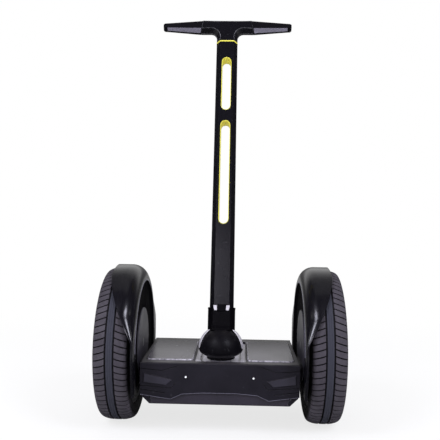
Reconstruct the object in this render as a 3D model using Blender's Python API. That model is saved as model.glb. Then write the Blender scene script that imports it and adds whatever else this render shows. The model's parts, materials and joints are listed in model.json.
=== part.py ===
# Two-wheeled self-balancing board with a leaning steering post.
# Metres, +Z up. Origin on the ground midway between the wheels. The front faces -Y,
# and the rider stands on the foot pads between the wheels, facing -Y too.

import math

import bmesh
import bpy
from mathutils import Matrix, Vector

# Clearances
GAP = 0.0003                    # between pieces that touch
PAD_CLEARANCE = 0.0012          # round a foot pad in its well
SHARP_ANGLE = math.radians(35)  # edges sharper than this are drawn sharp

# Wheels
WHEEL_RADIUS = 0.203
WHEEL_SIDES = 32
TYRE_HALF = 0.042
TYRE_CLEARANCE = 0.006          # between the tyre's side and the fender
TREAD_HALF = 0.036
SHOULDER_DROP = 0.0065
TYRE_WALL = 0.0105
RIB_HALF = 0.0088               # raised rib along the middle of the tread
GROOVE_WIDTH = 0.0037
GROOVE_DEPTH = 0.004
RIM_RADIUS = 0.150              # bead seat
BEAD_HALF = 0.0335
BEAD_WIDTH = 0.0095
FLANGE_HEIGHT = 0.009
FLANGE_THICK = 0.0032
BARREL_WALL = 0.0075
WEB_THICK = 0.005
WEB_OFFSET = 0.018              # outboard face of the web at the hub
POCKET_COUNT = 5
POCKET_DEPTH = 0.0025
MOTOR_RADIUS = 0.088
MOTOR_HALF = 0.0255
MOTOR_WALL = 0.0045
AXLE_RADIUS = 0.012
AXLE_COLLAR = 0.0165
BEARING_RADIUS = 0.0172
BEARING_WIDTH = 0.0085
HUB_CAP_RADIUS = 0.055
HUB_CAP_HEIGHT = 0.008
STATOR_RADIUS = 0.080
STATOR_HALF = 0.015
STATOR_TEETH = 9
HUB_SIDES = 12                  # facets of the axle and its bearings
PEG_SIDES = 8

# Chassis
BASE_HALF = 0.198               # half width of deck and fascias
SIDE_CLEARANCE = 0.0093         # from the base to the fender
BASE_DEPTH = 0.1505             # half depth, front and rear
DECK_TOP = 0.1835
DECK_THICK = 0.017
DECK_EDGE = 0.0035              # rounding along the sides of the deck
FASCIA_THICK = 0.004
FASCIA_TOP = 0.1830
FASCIA_CORNER_Z = 0.1035        # lower side corners
FASCIA_DIP_Z = 0.0930
FASCIA_DIP_INSET = 0.076        # from the side of the base
FASCIA_RISE = 0.028             # width of the slope beside the dip
FASCIA_ARCH_X = 0.040
FASCIA_ARCH_Z = 0.110
FASCIA_RETURN = 0.030           # length of the side returns
# Points on the fascia are (distance in from the side of the base, height).
FACET_OUTLINE = [(0.0804, 0.1421), (0.0096, 0.1582), (0.0080, 0.1344), (0.0659, 0.1274)]
FACET_HEIGHT = 0.002            # of the raised panel with that outline
FASCIA_GROOVES = [
    [(0.0980, 0.1775), (0.0536, 0.1640), (-0.007, 0.1690)],
    [(0.0900, 0.1355), (0.0780, 0.1210), (-0.007, 0.1268)],
    [(0.0640, 0.1080), (-0.007, 0.1180)],
]
GROOVE_LINE = 0.0018
GROOVE_CUT = 0.0018
TUB_INSET = 0.0045              # tub wall inside the side of the base
TUB_SETBACK = 0.009             # tub wall behind the fascia's face
TUB_WALL = 0.004
BELLY_BOTTOM = 0.079
BELLY_THICK = 0.006
BELLY_INSET = 0.025
BELLY_LIP = 0.0032
BELLY_LIP_TOP = 0.118
SIDE_BOSS_HALF = 0.055          # mounting boss for the axle plate
SIDE_BOSS_BOTTOM = 0.110
SIDE_BOSS_TOP = 0.160

# Foot pads and console
PAD_INNER = 0.0684
PAD_INSET = 0.0108              # from the side of the base
PAD_FRONT_INSET = 0.030
PAD_REAR_INSET = 0.042
PAD_CORNER = 0.012
PAD_TOP = 0.1845
PAD_THICK = 0.007
PAD_EDGE = 0.0016
WELL_FLOOR = 0.1725
PEG_RADIUS = 0.004
PAD_TRAVEL = 0.0025
PEG_INSET = 0.020
CONSOLE_FLOOR = 0.170
CONSOLE_FRONT_INSET = 0.0225
CONSOLE_REAR_INSET = 0.0385
CONSOLE_HALF = 0.0657
CONSOLE_CORNER = 0.006
TRIM_INNER = 0.0527
TRIM_TOP = 0.178
TRIM_NOSE = 0.034               # tip of the sloping front ends
TRIM_TIP = 0.0018               # height of that tip
TRIM_BRIDGE = 0.014             # strip behind the ball
SWITCH_HALF = 0.012
SWITCH_HEIGHT = 0.010
BOARD_HALF = 0.009
BOARD_THICK = 0.0016

# Fenders and axle plates
FENDER_CLEARANCE = 0.0105       # over the tread
FENDER_THICK = 0.003
FENDER_REACH = 0.0175           # outer lip beyond the middle of the wheel
FENDER_SKIRT = 0.097            # lower edge below the axle
SHOULDER_WIDTH = 0.036
SHOULDER_HEIGHT = 0.042
SWEEP_START = math.radians(20)
SWEEP_END = math.radians(82)
SWEEP_POWER = 1.7
FENDER_EDGE = 0.006             # least width of the rolled edge
ARCH_SETBACK = 0.0025
ARCH_BAND = 0.009
ARCH_DEPTH = 0.0082
PLATE_RADIUS = 0.094
PLATE_DROP = 0.0053             # face behind the crest of the arch
PLATE_THICK = 0.0099
PLATE_FLANGE = 0.007

# Steering
PIVOT_Y = -0.065
PIVOT_Z = 0.2005
LEAN = math.radians(15.5)
PIVOT_PIN = 0.008
BALL_RADIUS = 0.0575
BALL_WALL = 0.003
BALL_RIM = 0.037
BALL_RIM_DROP = 0.0213
BALL_CUT = 0.0470               # flat top of the ball, along the post
COLUMN_HALF_X = 0.026
COLUMN_HALF_Y = 0.031
PEDESTAL_FOOT = 0.042
PEDESTAL_FLANGE = 0.009
LUG_INNER = 0.0205
LUG_OUTER = 0.0305
LUG_RADIUS = 0.016
BUSH_RADIUS = 0.0112
STEM_HALF = 0.014
WING_HALF = 0.0255
BUFFER_HALF = 0.010
BUFFER_DROP = 0.0065            # top of the rubber buffer below the pivot
SLEEVE_HALF = 0.0359
SLEEVE_DEPTH = 0.0242
SLEEVE_TOP = 0.108
SLEEVE_LIP = 0.0006
SLEEVE_FLOOR = 0.0095
LATCH_BOTTOM = 0.0965
LATCH_TOP = 0.1145
LATCH_HALF = 0.0095
LATCH_TRAVEL = 0.0023

# Post, along its own axis from the pivot
POST_TOP = 0.8862
POST_HALF_FOOT = 0.0318
POST_HALF_HEAD = 0.0307
POST_DEPTH_FOOT = 0.0197
POST_DEPTH_HEAD = 0.0193
POST_FLAT = 0.0200              # half width of the flat front face
POST_EDGE = 0.0042              # half width of the flat side
POST_WALL = 0.003
SLOT_HALF = 0.01425
UPPER_SLOT = (0.6684, 0.8358)
LOWER_SLOT = (0.3329, 0.6377)
LINER_WALL = 0.0014
RING_THICK = 0.0035

# Handlebar
HEAD_FILLET = 0.018
ARM_BOTTOM = 0.9212
ARM_TOP = 0.9635
ARM_ROOT = 0.0745
ARM_SLANT = 0.0035
ARM_END = 0.1905
ARM_END_HALF = 0.0118
ARM_END_DEPTH = 0.0130
GRIP_WALL = 0.0032
END_CAP = 0.0125

# Stand, rear fittings and inner units
STAND_INSET = 0.0325            # hinge ahead of the rear fascia's face
STAND_RAKE = 0.034              # foot behind the hinge
STAND_DROP = 0.011              # hinge below the belly
STAND_FOOT_RADIUS = 0.0075
STAND_FOOT_HALF = 0.0545
BOOT_SIDES = 12
STAND_BAR_RADIUS = 0.0045
STAND_HUB = 0.0072
STAND_LEG_HALF = 0.012
STAND_LEG_END = 0.006
STAND_PIN = 0.004
LUG_THICK = 0.005
BRACKET_THICK = 0.0025
TAIL_HALF = 0.055
TAIL_HEIGHT = 0.008
TAIL_Z = 0.154
PORT_X = 0.090
PORT_Z = 0.138
PORT_RADIUS = 0.0085
PORT_HOLE = 0.005
CAP_HALF = 0.0135
CAP_THICK = 0.0028
BUTTON_X = -0.090
BUTTON_RADIUS = 0.008
BUTTON_PROUD = 0.002
LAMP_X = 0.084
LAMP_Z = 0.149
LAMP_RADIUS = 0.0052
BATTERY_HALF = 0.120
BATTERY_FRONT = 0.020
BATTERY_SETBACK = 0.0115
BATTERY_HEIGHT = 0.058
CONTROLLER_INSET = 0.0285       # from the tub's side wall
CONTROLLER_WIDTH = 0.110
CONTROLLER_SETBACK = 0.0165
UNIT_SPACING = 0.015            # between the controller and the battery
CONTROLLER_FINS = 9
FIN_ROOT = 0.022
FIN_TIP = 0.040
CHANNEL_PITCH = 0.040           # grooves under the belly
CHANNEL_HALF = 0.004
CHANNEL_DEPTH = 0.0022
CHANNEL_FRONT_INSET = 0.0405
CHANNEL_REAR_INSET = 0.0555

# Worked out from the sizes above
FENDER_INNER = BASE_HALF + SIDE_CLEARANCE                  # crest of the arch, nearest the rider's foot
RECESS = FENDER_INNER + ARCH_DEPTH
TRACK_HALF = RECESS + FENDER_THICK + TYRE_CLEARANCE + TYRE_HALF
FENDER_OUTER = TRACK_HALF + FENDER_REACH
FENDER_RADIUS = WHEEL_RADIUS + FENDER_CLEARANCE
ARCH_RADIUS = FENDER_RADIUS - SHOULDER_HEIGHT - ARCH_SETBACK
PLATE_FACE = FENDER_INNER + PLATE_DROP
PLATE_BACK = PLATE_FACE + PLATE_THICK
TUB_HALF = BASE_HALF - TUB_INSET
TUB_DEPTH = BASE_DEPTH - TUB_SETBACK
BELLY_HALF = BASE_HALF - BELLY_INSET
PAD_OUTER = BASE_HALF - PAD_INSET
PAD_FRONT = PAD_FRONT_INSET - BASE_DEPTH
PAD_REAR = BASE_DEPTH - PAD_REAR_INSET
CONSOLE_FRONT = CONSOLE_FRONT_INSET - BASE_DEPTH
CONSOLE_REAR = BASE_DEPTH - CONSOLE_REAR_INSET
STAND_Y = BASE_DEPTH - STAND_INSET
STAND_Z = BELLY_BOTTOM - STAND_DROP
STAND_FOOT_Y = STAND_Y + STAND_RAKE
AXLE_Z = WHEEL_RADIUS * math.cos(math.pi / WHEEL_SIDES)    # a flat of the tyre rests on the ground
FENDER_BOTTOM = AXLE_Z - FENDER_SKIRT
DECK_BOTTOM = DECK_TOP - DECK_THICK
TUB_TOP = DECK_BOTTOM - GAP
TUB_BOTTOM = BELLY_BOTTOM + BELLY_THICK + GAP
TUB_FLOOR = TUB_BOTTOM + TUB_WALL
POST_FOOT = BALL_CUT + GAP + SLEEVE_FLOOR + GAP
RING_FOOT = POST_TOP + GAP
HEAD_FOOT = RING_FOOT + RING_THICK + GAP
PAD_X = (PAD_INNER + PAD_OUTER) / 2
PAD_Y = (PAD_FRONT + PAD_REAR) / 2
COLUMN_TOP = PIVOT_Z - BALL_RIM_DROP
BUFFER_TOP = PIVOT_Z - BUFFER_DROP

LOOKS = {
    "rubber": ((0.090, 0.082, 0.085), 0.85, 0.0),
    "gloss": ((0.012, 0.011, 0.016), 0.22, 0.0),
    "satin": ((0.020, 0.019, 0.026), 0.45, 0.0),
    "belly": ((0.045, 0.038, 0.055), 0.55, 0.0),
    "deck": ((0.060, 0.056, 0.064), 0.50, 0.0),
    "pad": ((0.150, 0.140, 0.150), 0.50, 0.0),
    "trim": ((0.420, 0.420, 0.440), 0.35, 0.6),
    "plate": ((0.085, 0.082, 0.095), 0.45, 0.7),
    "steel": ((0.520, 0.520, 0.530), 0.30, 1.0),
    "cast": ((0.250, 0.250, 0.260), 0.50, 0.9),
    "yellow": ((0.830, 0.800, 0.090), 0.45, 0.0),
    "grip": ((0.030, 0.029, 0.034), 0.60, 0.0),
    "lens": ((0.800, 0.850, 0.900), 0.10, 0.0),
    "red": ((0.500, 0.020, 0.020), 0.15, 0.0),
    "copper": ((0.600, 0.300, 0.120), 0.40, 0.9),
    "pack": ((0.050, 0.070, 0.110), 0.60, 0.0),
    "board": ((0.020, 0.110, 0.050), 0.50, 0.0),
}


def clear_scene():
    for obj in list(bpy.data.objects):
        bpy.data.objects.remove(obj, do_unlink=True)


def look(name):
    material = bpy.data.materials.get(name)
    if material is None:
        colour, roughness, metallic = LOOKS[name]
        material = bpy.data.materials.new(name)
        material.use_nodes = True
        shader = material.node_tree.nodes["Principled BSDF"]
        shader.inputs["Base Color"].default_value = (*colour, 1.0)
        shader.inputs["Roughness"].default_value = roughness
        shader.inputs["Metallic"].default_value = metallic
    return material


def piece(name, bm, finish, frame=None):
    """Turns a bmesh into a named object in the given frame."""
    bmesh.ops.remove_doubles(bm, verts=bm.verts, dist=1e-6)
    bmesh.ops.recalc_face_normals(bm, faces=bm.faces)
    mesh = bpy.data.meshes.new(name)
    bm.to_mesh(mesh)
    bm.free()
    mesh.shade_smooth()
    mesh.set_sharp_from_angle(angle=SHARP_ANGLE)
    mesh.materials.append(look(finish))
    obj = bpy.data.objects.new(name, mesh)
    bpy.context.scene.collection.objects.link(obj)
    obj.parent = frame
    return obj


def reshape(obj, bm, how, label):
    """Cuts a helper solid from a piece, or joins it on."""
    helper = piece(f"{obj.name}_{label}", bm, "steel", obj.parent)
    helper.hide_render = True
    helper.display_type = "WIRE"
    modifier = obj.modifiers.new(label, "BOOLEAN")
    modifier.object = helper
    modifier.operation = how
    modifier.solver = "EXACT"


def cut(obj, bm, label):
    reshape(obj, bm, "DIFFERENCE", label)


def join(obj, bm, label):
    reshape(obj, bm, "UNION", label)


def frame_at(name, location, parent=None, turn_x=0.0):
    """An empty that stands on a joint's axis."""
    empty = bpy.data.objects.new(name, None)
    bpy.context.scene.collection.objects.link(empty)
    empty.parent = parent
    empty.location = location
    empty.rotation_euler = (turn_x, 0.0, 0.0)
    return empty


def on_plane(axis, a, b, c):
    if axis == "X":
        return Vector((c, a, b))
    if axis == "Y":
        return Vector((a, c, b))
    return Vector((a, b, c))


def prism(bm, outline, low, high, axis):
    """Extrudes a closed outline along an axis."""
    face = bm.faces.new([bm.verts.new(on_plane(axis, a, b, low)) for a, b in outline])
    grown = bmesh.ops.extrude_face_region(bm, geom=[face])["geom"]
    moved = [item for item in grown if isinstance(item, bmesh.types.BMVert)]
    bmesh.ops.translate(bm, vec=on_plane(axis, 0, 0, high - low), verts=moved)
    return face, [item for item in grown if isinstance(item, bmesh.types.BMFace)][0]


def box(bm, low, high):
    outline = [(low[0], low[1]), (high[0], low[1]), (high[0], high[1]), (low[0], high[1])]
    prism(bm, outline, low[2], high[2], "Z")


def lathe(bm, profile, axis, sides, centre=(0, 0, 0), solid=False):
    """Turns a profile of (along, radius) points about an axis through centre.

    A solid profile starts and ends on the axis, any other is a closed ring.
    """
    turn_axis = on_plane(axis, 0, 0, 1)
    start = math.pi / sides
    points = [on_plane(axis, r * math.sin(start), r * math.cos(start), along) for along, r in profile]
    verts = [bm.verts.new(point + Vector(centre)) for point in points]
    pairs = list(zip(verts, verts[1:]))
    if not solid:
        pairs.append((verts[-1], verts[0]))
    edges = [bm.edges.new(pair) for pair in pairs]
    bmesh.ops.spin(bm, geom=verts + edges, cent=centre, axis=turn_axis,
                   angle=2 * math.pi, steps=sides, use_merge=True)
    bmesh.ops.remove_doubles(bm, verts=bm.verts, dist=1e-6)


def loft(bm, rings, loop=False):
    """Skins a row of rings of equal count, capped at the ends unless it closes on itself."""
    rows = [[bm.verts.new(point) for point in ring] for ring in rings]
    following = rows[1:] + ([rows[0]] if loop else [])
    for row, after in zip(rows, following):
        for i in range(len(row)):
            j = (i + 1) % len(row)
            bm.faces.new((row[i], row[j], after[j], after[i]))
    if not loop:
        bm.faces.new(rows[0])
        bm.faces.new(reversed(rows[-1]))


def arc(centre, radius_a, radius_b, start, end, steps):
    """Points along part of an ellipse, angles in degrees."""
    points = []
    for i in range(steps + 1):
        angle = math.radians(start + (end - start) * i / steps)
        points.append((centre[0] + radius_a * math.cos(angle), centre[1] + radius_b * math.sin(angle)))
    return points


def polygon(centre, radius, sides):
    return arc(centre, radius, radius, 0, 360 - 360 / sides, sides - 1)


def round_box(a0, a1, b0, b1, radius, steps=2):
    corners = ((a1, b1, 0), (a0, b1, 90), (a0, b0, 180), (a1, b0, 270))
    points = []
    for a, b, start in corners:
        centre = (a - math.copysign(radius, a - (a0 + a1) / 2),
                  b - math.copysign(radius, b - (b0 + b1) / 2))
        points += arc(centre, radius, radius, start, start + 90, steps)
    return points


def obround(half, low, high, steps=6):
    """A slot outline with round ends along the second coordinate."""
    upper = arc((0, high - half), half, half, 0, 180, steps)
    lower = arc((0, low + half), half, half, 180, 360, steps)
    return upper + lower


def bar_outline(p, q, radius_p, radius_q, steps=5):
    """Outline of a bar with round ends at p and q."""
    heading = math.degrees(math.atan2(q[1] - p[1], q[0] - p[0]))
    far = arc(q, radius_q, radius_q, heading - 90, heading + 90, steps)
    near = arc(p, radius_p, radius_p, heading + 90, heading + 270, steps)
    return far + near


def octagon(half, depth, flat, edge):
    """Section of the post: a flat front and back, and slanted cheeks."""
    return [(-flat, -depth), (flat, -depth), (half, -edge), (half, edge),
            (flat, depth), (-flat, depth), (-half, edge), (-half, -edge)]


def both_sides(points, side):
    return [(side * x, y) for x, y in points]


def bevel_edges(bm, edges, offset, segments=1):
    bmesh.ops.bevel(bm, geom=edges, offset=offset, segments=segments, affect="EDGES", profile=0.5)


# Wheels. Their profiles are (outboard distance from the wheel's middle plane, radius).

def tyre(name, side, frame):
    r = WHEEL_RADIUS
    half = [
        (RIB_HALF, r),
        (RIB_HALF + GROOVE_WIDTH / 2, r - GROOVE_DEPTH),
        (RIB_HALF + GROOVE_WIDTH, r - 0.0004),
        (TREAD_HALF, r - SHOULDER_DROP),
        (TYRE_HALF - 0.0012, r - SHOULDER_DROP - 0.009),
        (TYRE_HALF, r - SHOULDER_DROP - 0.020),
        (TYRE_HALF - 0.0020, RIM_RADIUS + FLANGE_HEIGHT + 0.008),
        (BEAD_HALF, RIM_RADIUS + FLANGE_HEIGHT + 0.0015),
        (BEAD_HALF, RIM_RADIUS + GAP),
        (BEAD_HALF - BEAD_WIDTH, RIM_RADIUS + GAP),
        (TYRE_HALF - TYRE_WALL, r - TYRE_WALL - SHOULDER_DROP),
    ]
    profile = half + [(-x, radius) for x, radius in reversed(half)]
    bm = bmesh.new()
    lathe(bm, [(side * x, radius) for x, radius in profile], "X", WHEEL_SIDES)
    piece(name, bm, "rubber", frame)


def rim(name, side, frame):
    flange = RIM_RADIUS + FLANGE_HEIGHT
    seat = BEAD_HALF + GAP
    outer = seat + FLANGE_THICK
    inside = RIM_RADIUS - BARREL_WALL
    hub = MOTOR_RADIUS + GAP
    profile = [
        (outer, flange), (outer, RIM_RADIUS - 0.003), (WEB_OFFSET, inside),
        (WEB_OFFSET + 0.003, hub), (WEB_OFFSET + 0.003 - WEB_THICK, hub), (WEB_OFFSET - WEB_THICK, inside),
        (-outer, RIM_RADIUS - 0.003), (-outer, flange), (-seat, flange),
        (-seat, RIM_RADIUS), (seat, RIM_RADIUS), (seat, flange),
    ]
    bm = bmesh.new()
    lathe(bm, [(side * x, radius) for x, radius in profile], "X", WHEEL_SIDES)
    obj = piece(name, bm, "cast", frame)
    pockets = bmesh.new()
    pitch = 360 / POCKET_COUNT
    for i in range(POCKET_COUNT):
        start = i * pitch + 90 - pitch * 0.36
        outer_arc = arc((0, 0), inside - 0.007, inside - 0.007, start, start + pitch * 0.72, 3)
        inner_arc = arc((0, 0), hub + 0.012, hub + 0.012, start + pitch * 0.62, start + pitch * 0.10, 1)
        face = WEB_OFFSET + 0.0015 - POCKET_DEPTH
        ends = sorted((side * face, side * (WEB_OFFSET + 0.010)))
        prism(pockets, outer_arc + inner_arc, ends[0], ends[1], "X")
    cut(obj, pockets, "pockets")


def motor(name, side, frame):
    bore = BEARING_RADIUS + GAP
    lip = MOTOR_HALF - BEARING_WIDTH
    profile = [
        (MOTOR_HALF, bore), (MOTOR_HALF, MOTOR_RADIUS), (-MOTOR_HALF, MOTOR_RADIUS),
        (-MOTOR_HALF, MOTOR_RADIUS - MOTOR_WALL), (lip, MOTOR_RADIUS - MOTOR_WALL), (lip, bore),
    ]
    bm = bmesh.new()
    lathe(bm, [(side * x, radius) for x, radius in profile], "X", WHEEL_SIDES)
    piece(f"{name}_motor_shell", bm, "satin", frame)

    face = -(MOTOR_HALF + GAP)
    outside = face - BEARING_WIDTH
    profile = [(face, bore), (face, MOTOR_RADIUS), (outside, MOTOR_RADIUS), (outside, bore)]
    bm = bmesh.new()
    lathe(bm, [(side * x, radius) for x, radius in profile], "X", 24)
    piece(f"{name}_motor_end_plate", bm, "satin", frame)

    for start, label in ((outside, "inner_bearing"), (MOTOR_HALF - BEARING_WIDTH, "outer_bearing")):
        end = start + BEARING_WIDTH
        ring = [(start, AXLE_RADIUS + GAP), (start, BEARING_RADIUS),
                (end, BEARING_RADIUS), (end, AXLE_RADIUS + GAP)]
        bm = bmesh.new()
        lathe(bm, [(side * x, radius) for x, radius in ring], "X", HUB_SIDES)
        piece(f"{name}_{label}", bm, "steel", frame)

    seat = MOTOR_HALF + GAP
    top = seat + HUB_CAP_HEIGHT
    profile = [(seat, 0), (seat, HUB_CAP_RADIUS), (seat + HUB_CAP_HEIGHT * 0.45, HUB_CAP_RADIUS),
               (top, HUB_CAP_RADIUS - 0.009), (top, 0)]
    bm = bmesh.new()
    lathe(bm, [(side * x, radius) for x, radius in profile], "X", 24, solid=True)
    piece(f"{name}_hub_cap", bm, "satin", frame)


def axle_and_stator(name, side, centre):
    wheel_x = side * TRACK_HALF
    start = PLATE_FACE - TRACK_HALF + GAP
    collar = PLATE_BACK - TRACK_HALF + GAP
    bearing = -(MOTOR_HALF + GAP) - BEARING_WIDTH - GAP
    end = MOTOR_HALF - GAP
    profile = [(start, 0), (start, AXLE_RADIUS), (collar, AXLE_RADIUS), (collar, AXLE_COLLAR),
               (bearing, AXLE_COLLAR), (bearing, AXLE_RADIUS), (end, AXLE_RADIUS), (end, 0)]
    bm = bmesh.new()
    lathe(bm, [(wheel_x + side * x, radius) for x, radius in profile], "X", HUB_SIDES, centre, solid=True)
    piece(f"{name}_axle", bm, "steel")

    outline = []
    pitch = 360 / STATOR_TEETH
    for i in range(STATOR_TEETH):
        outline += arc((0, 0), STATOR_RADIUS, STATOR_RADIUS, i * pitch, (i + 0.62) * pitch, 1)
        outline += arc((0, 0), STATOR_RADIUS * 0.72, STATOR_RADIUS * 0.72,
                       (i + 0.68) * pitch, (i + 0.94) * pitch, 1)
    middle = wheel_x - side * 0.003
    bm = bmesh.new()
    prism(bm, [(a, b + centre[2]) for a, b in outline], middle - STATOR_HALF, middle + STATOR_HALF, "X")
    obj = piece(f"{name}_stator", bm, "copper")
    hole = bmesh.new()
    prism(hole, polygon(centre[1:], AXLE_RADIUS + GAP, 20),
          middle - STATOR_HALF - 0.01, middle + STATOR_HALF + 0.01, "X")
    cut(obj, hole, "bore")


# Fenders

def fender_section(angle):
    """Closed section of the fender, as (distance from the vehicle's middle, radius).

    The lip that covers the tyre is widest at the top and sweeps in towards the front and rear.
    """
    swept = min(1.0, max(0.0, (abs(angle) - SWEEP_START) / (SWEEP_END - SWEEP_START)))
    width = max(FENDER_EDGE, (FENDER_OUTER - FENDER_INNER) * (1 - swept ** SWEEP_POWER))
    corner = min(SHOULDER_WIDTH, width - 0.001)
    height = SHOULDER_HEIGHT * corner / SHOULDER_WIDTH
    centre = (FENDER_INNER + corner, FENDER_RADIUS - height)
    bottom = ARCH_RADIUS - ARCH_BAND
    section = [
        (RECESS, PLATE_RADIUS + GAP),
        (RECESS, bottom),
        (FENDER_INNER + 0.0014, ARCH_RADIUS - 0.0035),
        (FENDER_INNER, ARCH_RADIUS),
    ]
    section += arc(centre, corner, height, 180, 90, 3)
    section += [(FENDER_INNER + width, FENDER_RADIUS), (FENDER_INNER + width, FENDER_RADIUS - FENDER_THICK)]
    section += arc(centre, corner - FENDER_THICK, height - FENDER_THICK, 90, 180, 2)
    section += [
        (RECESS + FENDER_THICK, bottom + 0.004),
        (RECESS + FENDER_THICK, PLATE_RADIUS + GAP),
    ]
    return section


def fender(name, side):
    rings = []
    for i in range(WHEEL_SIDES):
        angle = math.pi * ((2 * i + 1) / WHEEL_SIDES - 1)
        rings.append([(side * x, -r * math.sin(angle), AXLE_Z + r * math.cos(angle))
                      for x, r in fender_section(angle)])
    bm = bmesh.new()
    loft(bm, rings, loop=True)
    obj = piece(name, bm, "gloss")
    below = bmesh.new()
    ends = sorted((side * (FENDER_INNER - 0.02), side * (FENDER_OUTER + 0.02)))
    box(below, (ends[0], -FENDER_RADIUS - 0.02, -0.05), (ends[1], FENDER_RADIUS + 0.02, FENDER_BOTTOM))
    cut(obj, below, "lower_edge")


def axle_plate(name, side):
    step = RECESS + FENDER_THICK + GAP
    rim_radius = PLATE_RADIUS + PLATE_FLANGE
    bore = AXLE_RADIUS + GAP
    profile = [
        (PLATE_FACE, bore), (PLATE_FACE, PLATE_RADIUS), (step, PLATE_RADIUS),
        (step, rim_radius), (PLATE_BACK, rim_radius), (PLATE_BACK, bore),
    ]
    bm = bmesh.new()
    lathe(bm, [(side * x, radius) for x, radius in profile], "X", WHEEL_SIDES, (0, 0, AXLE_Z))
    piece(name, bm, "plate")


# Chassis

def chassis_tub():
    slope = (TUB_HALF - BELLY_HALF) / (FASCIA_CORNER_Z - BELLY_BOTTOM)
    bottom_half = BELLY_HALF + slope * (TUB_BOTTOM - BELLY_BOTTOM)
    outline = [(bottom_half, TUB_BOTTOM), (TUB_HALF, FASCIA_CORNER_Z), (TUB_HALF, TUB_TOP)]
    outline += [(-x, z) for x, z in reversed(outline)]
    bm = bmesh.new()
    prism(bm, outline, -TUB_DEPTH, TUB_DEPTH, "Y")
    obj = piece("chassis_tub", bm, "cast")
    for side, label in ((-1, "left_boss"), (1, "right_boss")):
        boss = bmesh.new()
        ends = sorted((side * (TUB_HALF - 0.001), side * (PLATE_FACE - GAP)))
        prism(boss, round_box(-SIDE_BOSS_HALF, SIDE_BOSS_HALF, SIDE_BOSS_BOTTOM, SIDE_BOSS_TOP, 0.010),
              ends[0], ends[1], "X")
        join(obj, boss, label)
    inner = [(bottom_half - TUB_WALL * 0.6, TUB_FLOOR), (TUB_HALF - TUB_WALL, FASCIA_CORNER_Z + 0.0016),
             (TUB_HALF - TUB_WALL, TUB_TOP + 0.01)]
    inner += [(-x, z) for x, z in reversed(inner)]
    hollow = bmesh.new()
    prism(hollow, inner, -TUB_DEPTH + TUB_WALL, TUB_DEPTH - TUB_WALL, "Y")
    cut(obj, hollow, "hollow")


def well_outline():
    c = PAD_CLEARANCE
    return round_box(PAD_INNER - c, PAD_OUTER + c, PAD_FRONT - c, PAD_REAR + c, PAD_CORNER + c)


def peg_places():
    """Pegs of a pad from the pad's middle: four guides and the one that works the switch."""
    dx = (PAD_OUTER - PAD_INNER) / 2 - PEG_INSET
    dy = (PAD_REAR - PAD_FRONT) / 2 - PEG_INSET
    return [(dx, dy), (-dx, dy), (-dx, -dy), (dx, -dy), (0, 0)]


def deck_cover():
    depth = BASE_DEPTH - FASCIA_THICK - GAP
    bm = bmesh.new()
    box(bm, (-BASE_HALF, -depth, DECK_BOTTOM), (BASE_HALF, depth, DECK_TOP))
    edges = [e for e in bm.edges if all(v.co.z > DECK_TOP - 1e-5 for v in e.verts)
             and abs(e.verts[0].co.x - e.verts[1].co.x) < 1e-5]
    bevel_edges(bm, edges, DECK_EDGE, 2)
    obj = piece("deck_cover", bm, "deck")
    wells = bmesh.new()
    for side in (-1, 1):
        prism(wells, both_sides(well_outline(), side), WELL_FLOOR, DECK_TOP + 0.01, "Z")
    prism(wells, round_box(-CONSOLE_HALF, CONSOLE_HALF, CONSOLE_FRONT, CONSOLE_REAR, CONSOLE_CORNER, 2),
          CONSOLE_FLOOR, DECK_TOP + 0.01, "Z")
    cut(obj, wells, "wells")
    holes = bmesh.new()
    for side in (-1, 1):
        for dx, dy in peg_places():
            centre = (side * PAD_X + dx, PAD_Y + dy)
            prism(holes, polygon(centre, PEG_RADIUS + GAP, PEG_SIDES), DECK_BOTTOM - 0.005,
                  WELL_FLOOR + 0.003, "Z")
    prism(holes, column_outline(GAP), DECK_BOTTOM - 0.005, CONSOLE_FLOOR + 0.004, "Z")
    cut(obj, holes, "holes")


def foot_pad(name, side):
    frame = frame_at(f"{name}_slide", (side * PAD_X, PAD_Y, PAD_TOP - PAD_THICK))
    half_x = (PAD_OUTER - PAD_INNER) / 2
    half_y = (PAD_REAR - PAD_FRONT) / 2
    bm = bmesh.new()
    prism(bm, round_box(-half_x, half_x, -half_y, half_y, PAD_CORNER), 0, PAD_THICK, "Z")
    edges = [e for e in bm.edges if all(v.co.z > PAD_THICK - 1e-5 for v in e.verts)]
    bevel_edges(bm, edges, PAD_EDGE)
    obj = piece(name, bm, "pad", frame)
    # Pressed fully, the pegs come down to the switches.
    tip = DECK_BOTTOM + PAD_TRAVEL - (PAD_TOP - PAD_THICK)
    pegs = bmesh.new()
    for place in peg_places():
        prism(pegs, polygon(place, PEG_RADIUS, PEG_SIDES), tip, PAD_THICK * 0.3, "Z")
    join(obj, pegs, "pegs")


def pad_switch_board():
    """One circuit board under the deck, with a switch below the middle peg of each pad."""
    top = DECK_BOTTOM - GAP
    switch, width = SWITCH_HALF, BOARD_HALF
    edge = PAD_X + switch + 0.006
    under = top - SWITCH_HEIGHT
    face = under + BOARD_THICK
    outline = [(-edge, under), (edge, under), (edge, face)]
    for x in (PAD_X, -PAD_X):
        outline += [(x + switch, face), (x + switch, top), (x - switch, top), (x - switch, face)]
    outline.append((-edge, face))
    bm = bmesh.new()
    prism(bm, outline, PAD_Y - width, PAD_Y + width, "Y")
    piece("pad_switch_board", bm, "board")


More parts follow.
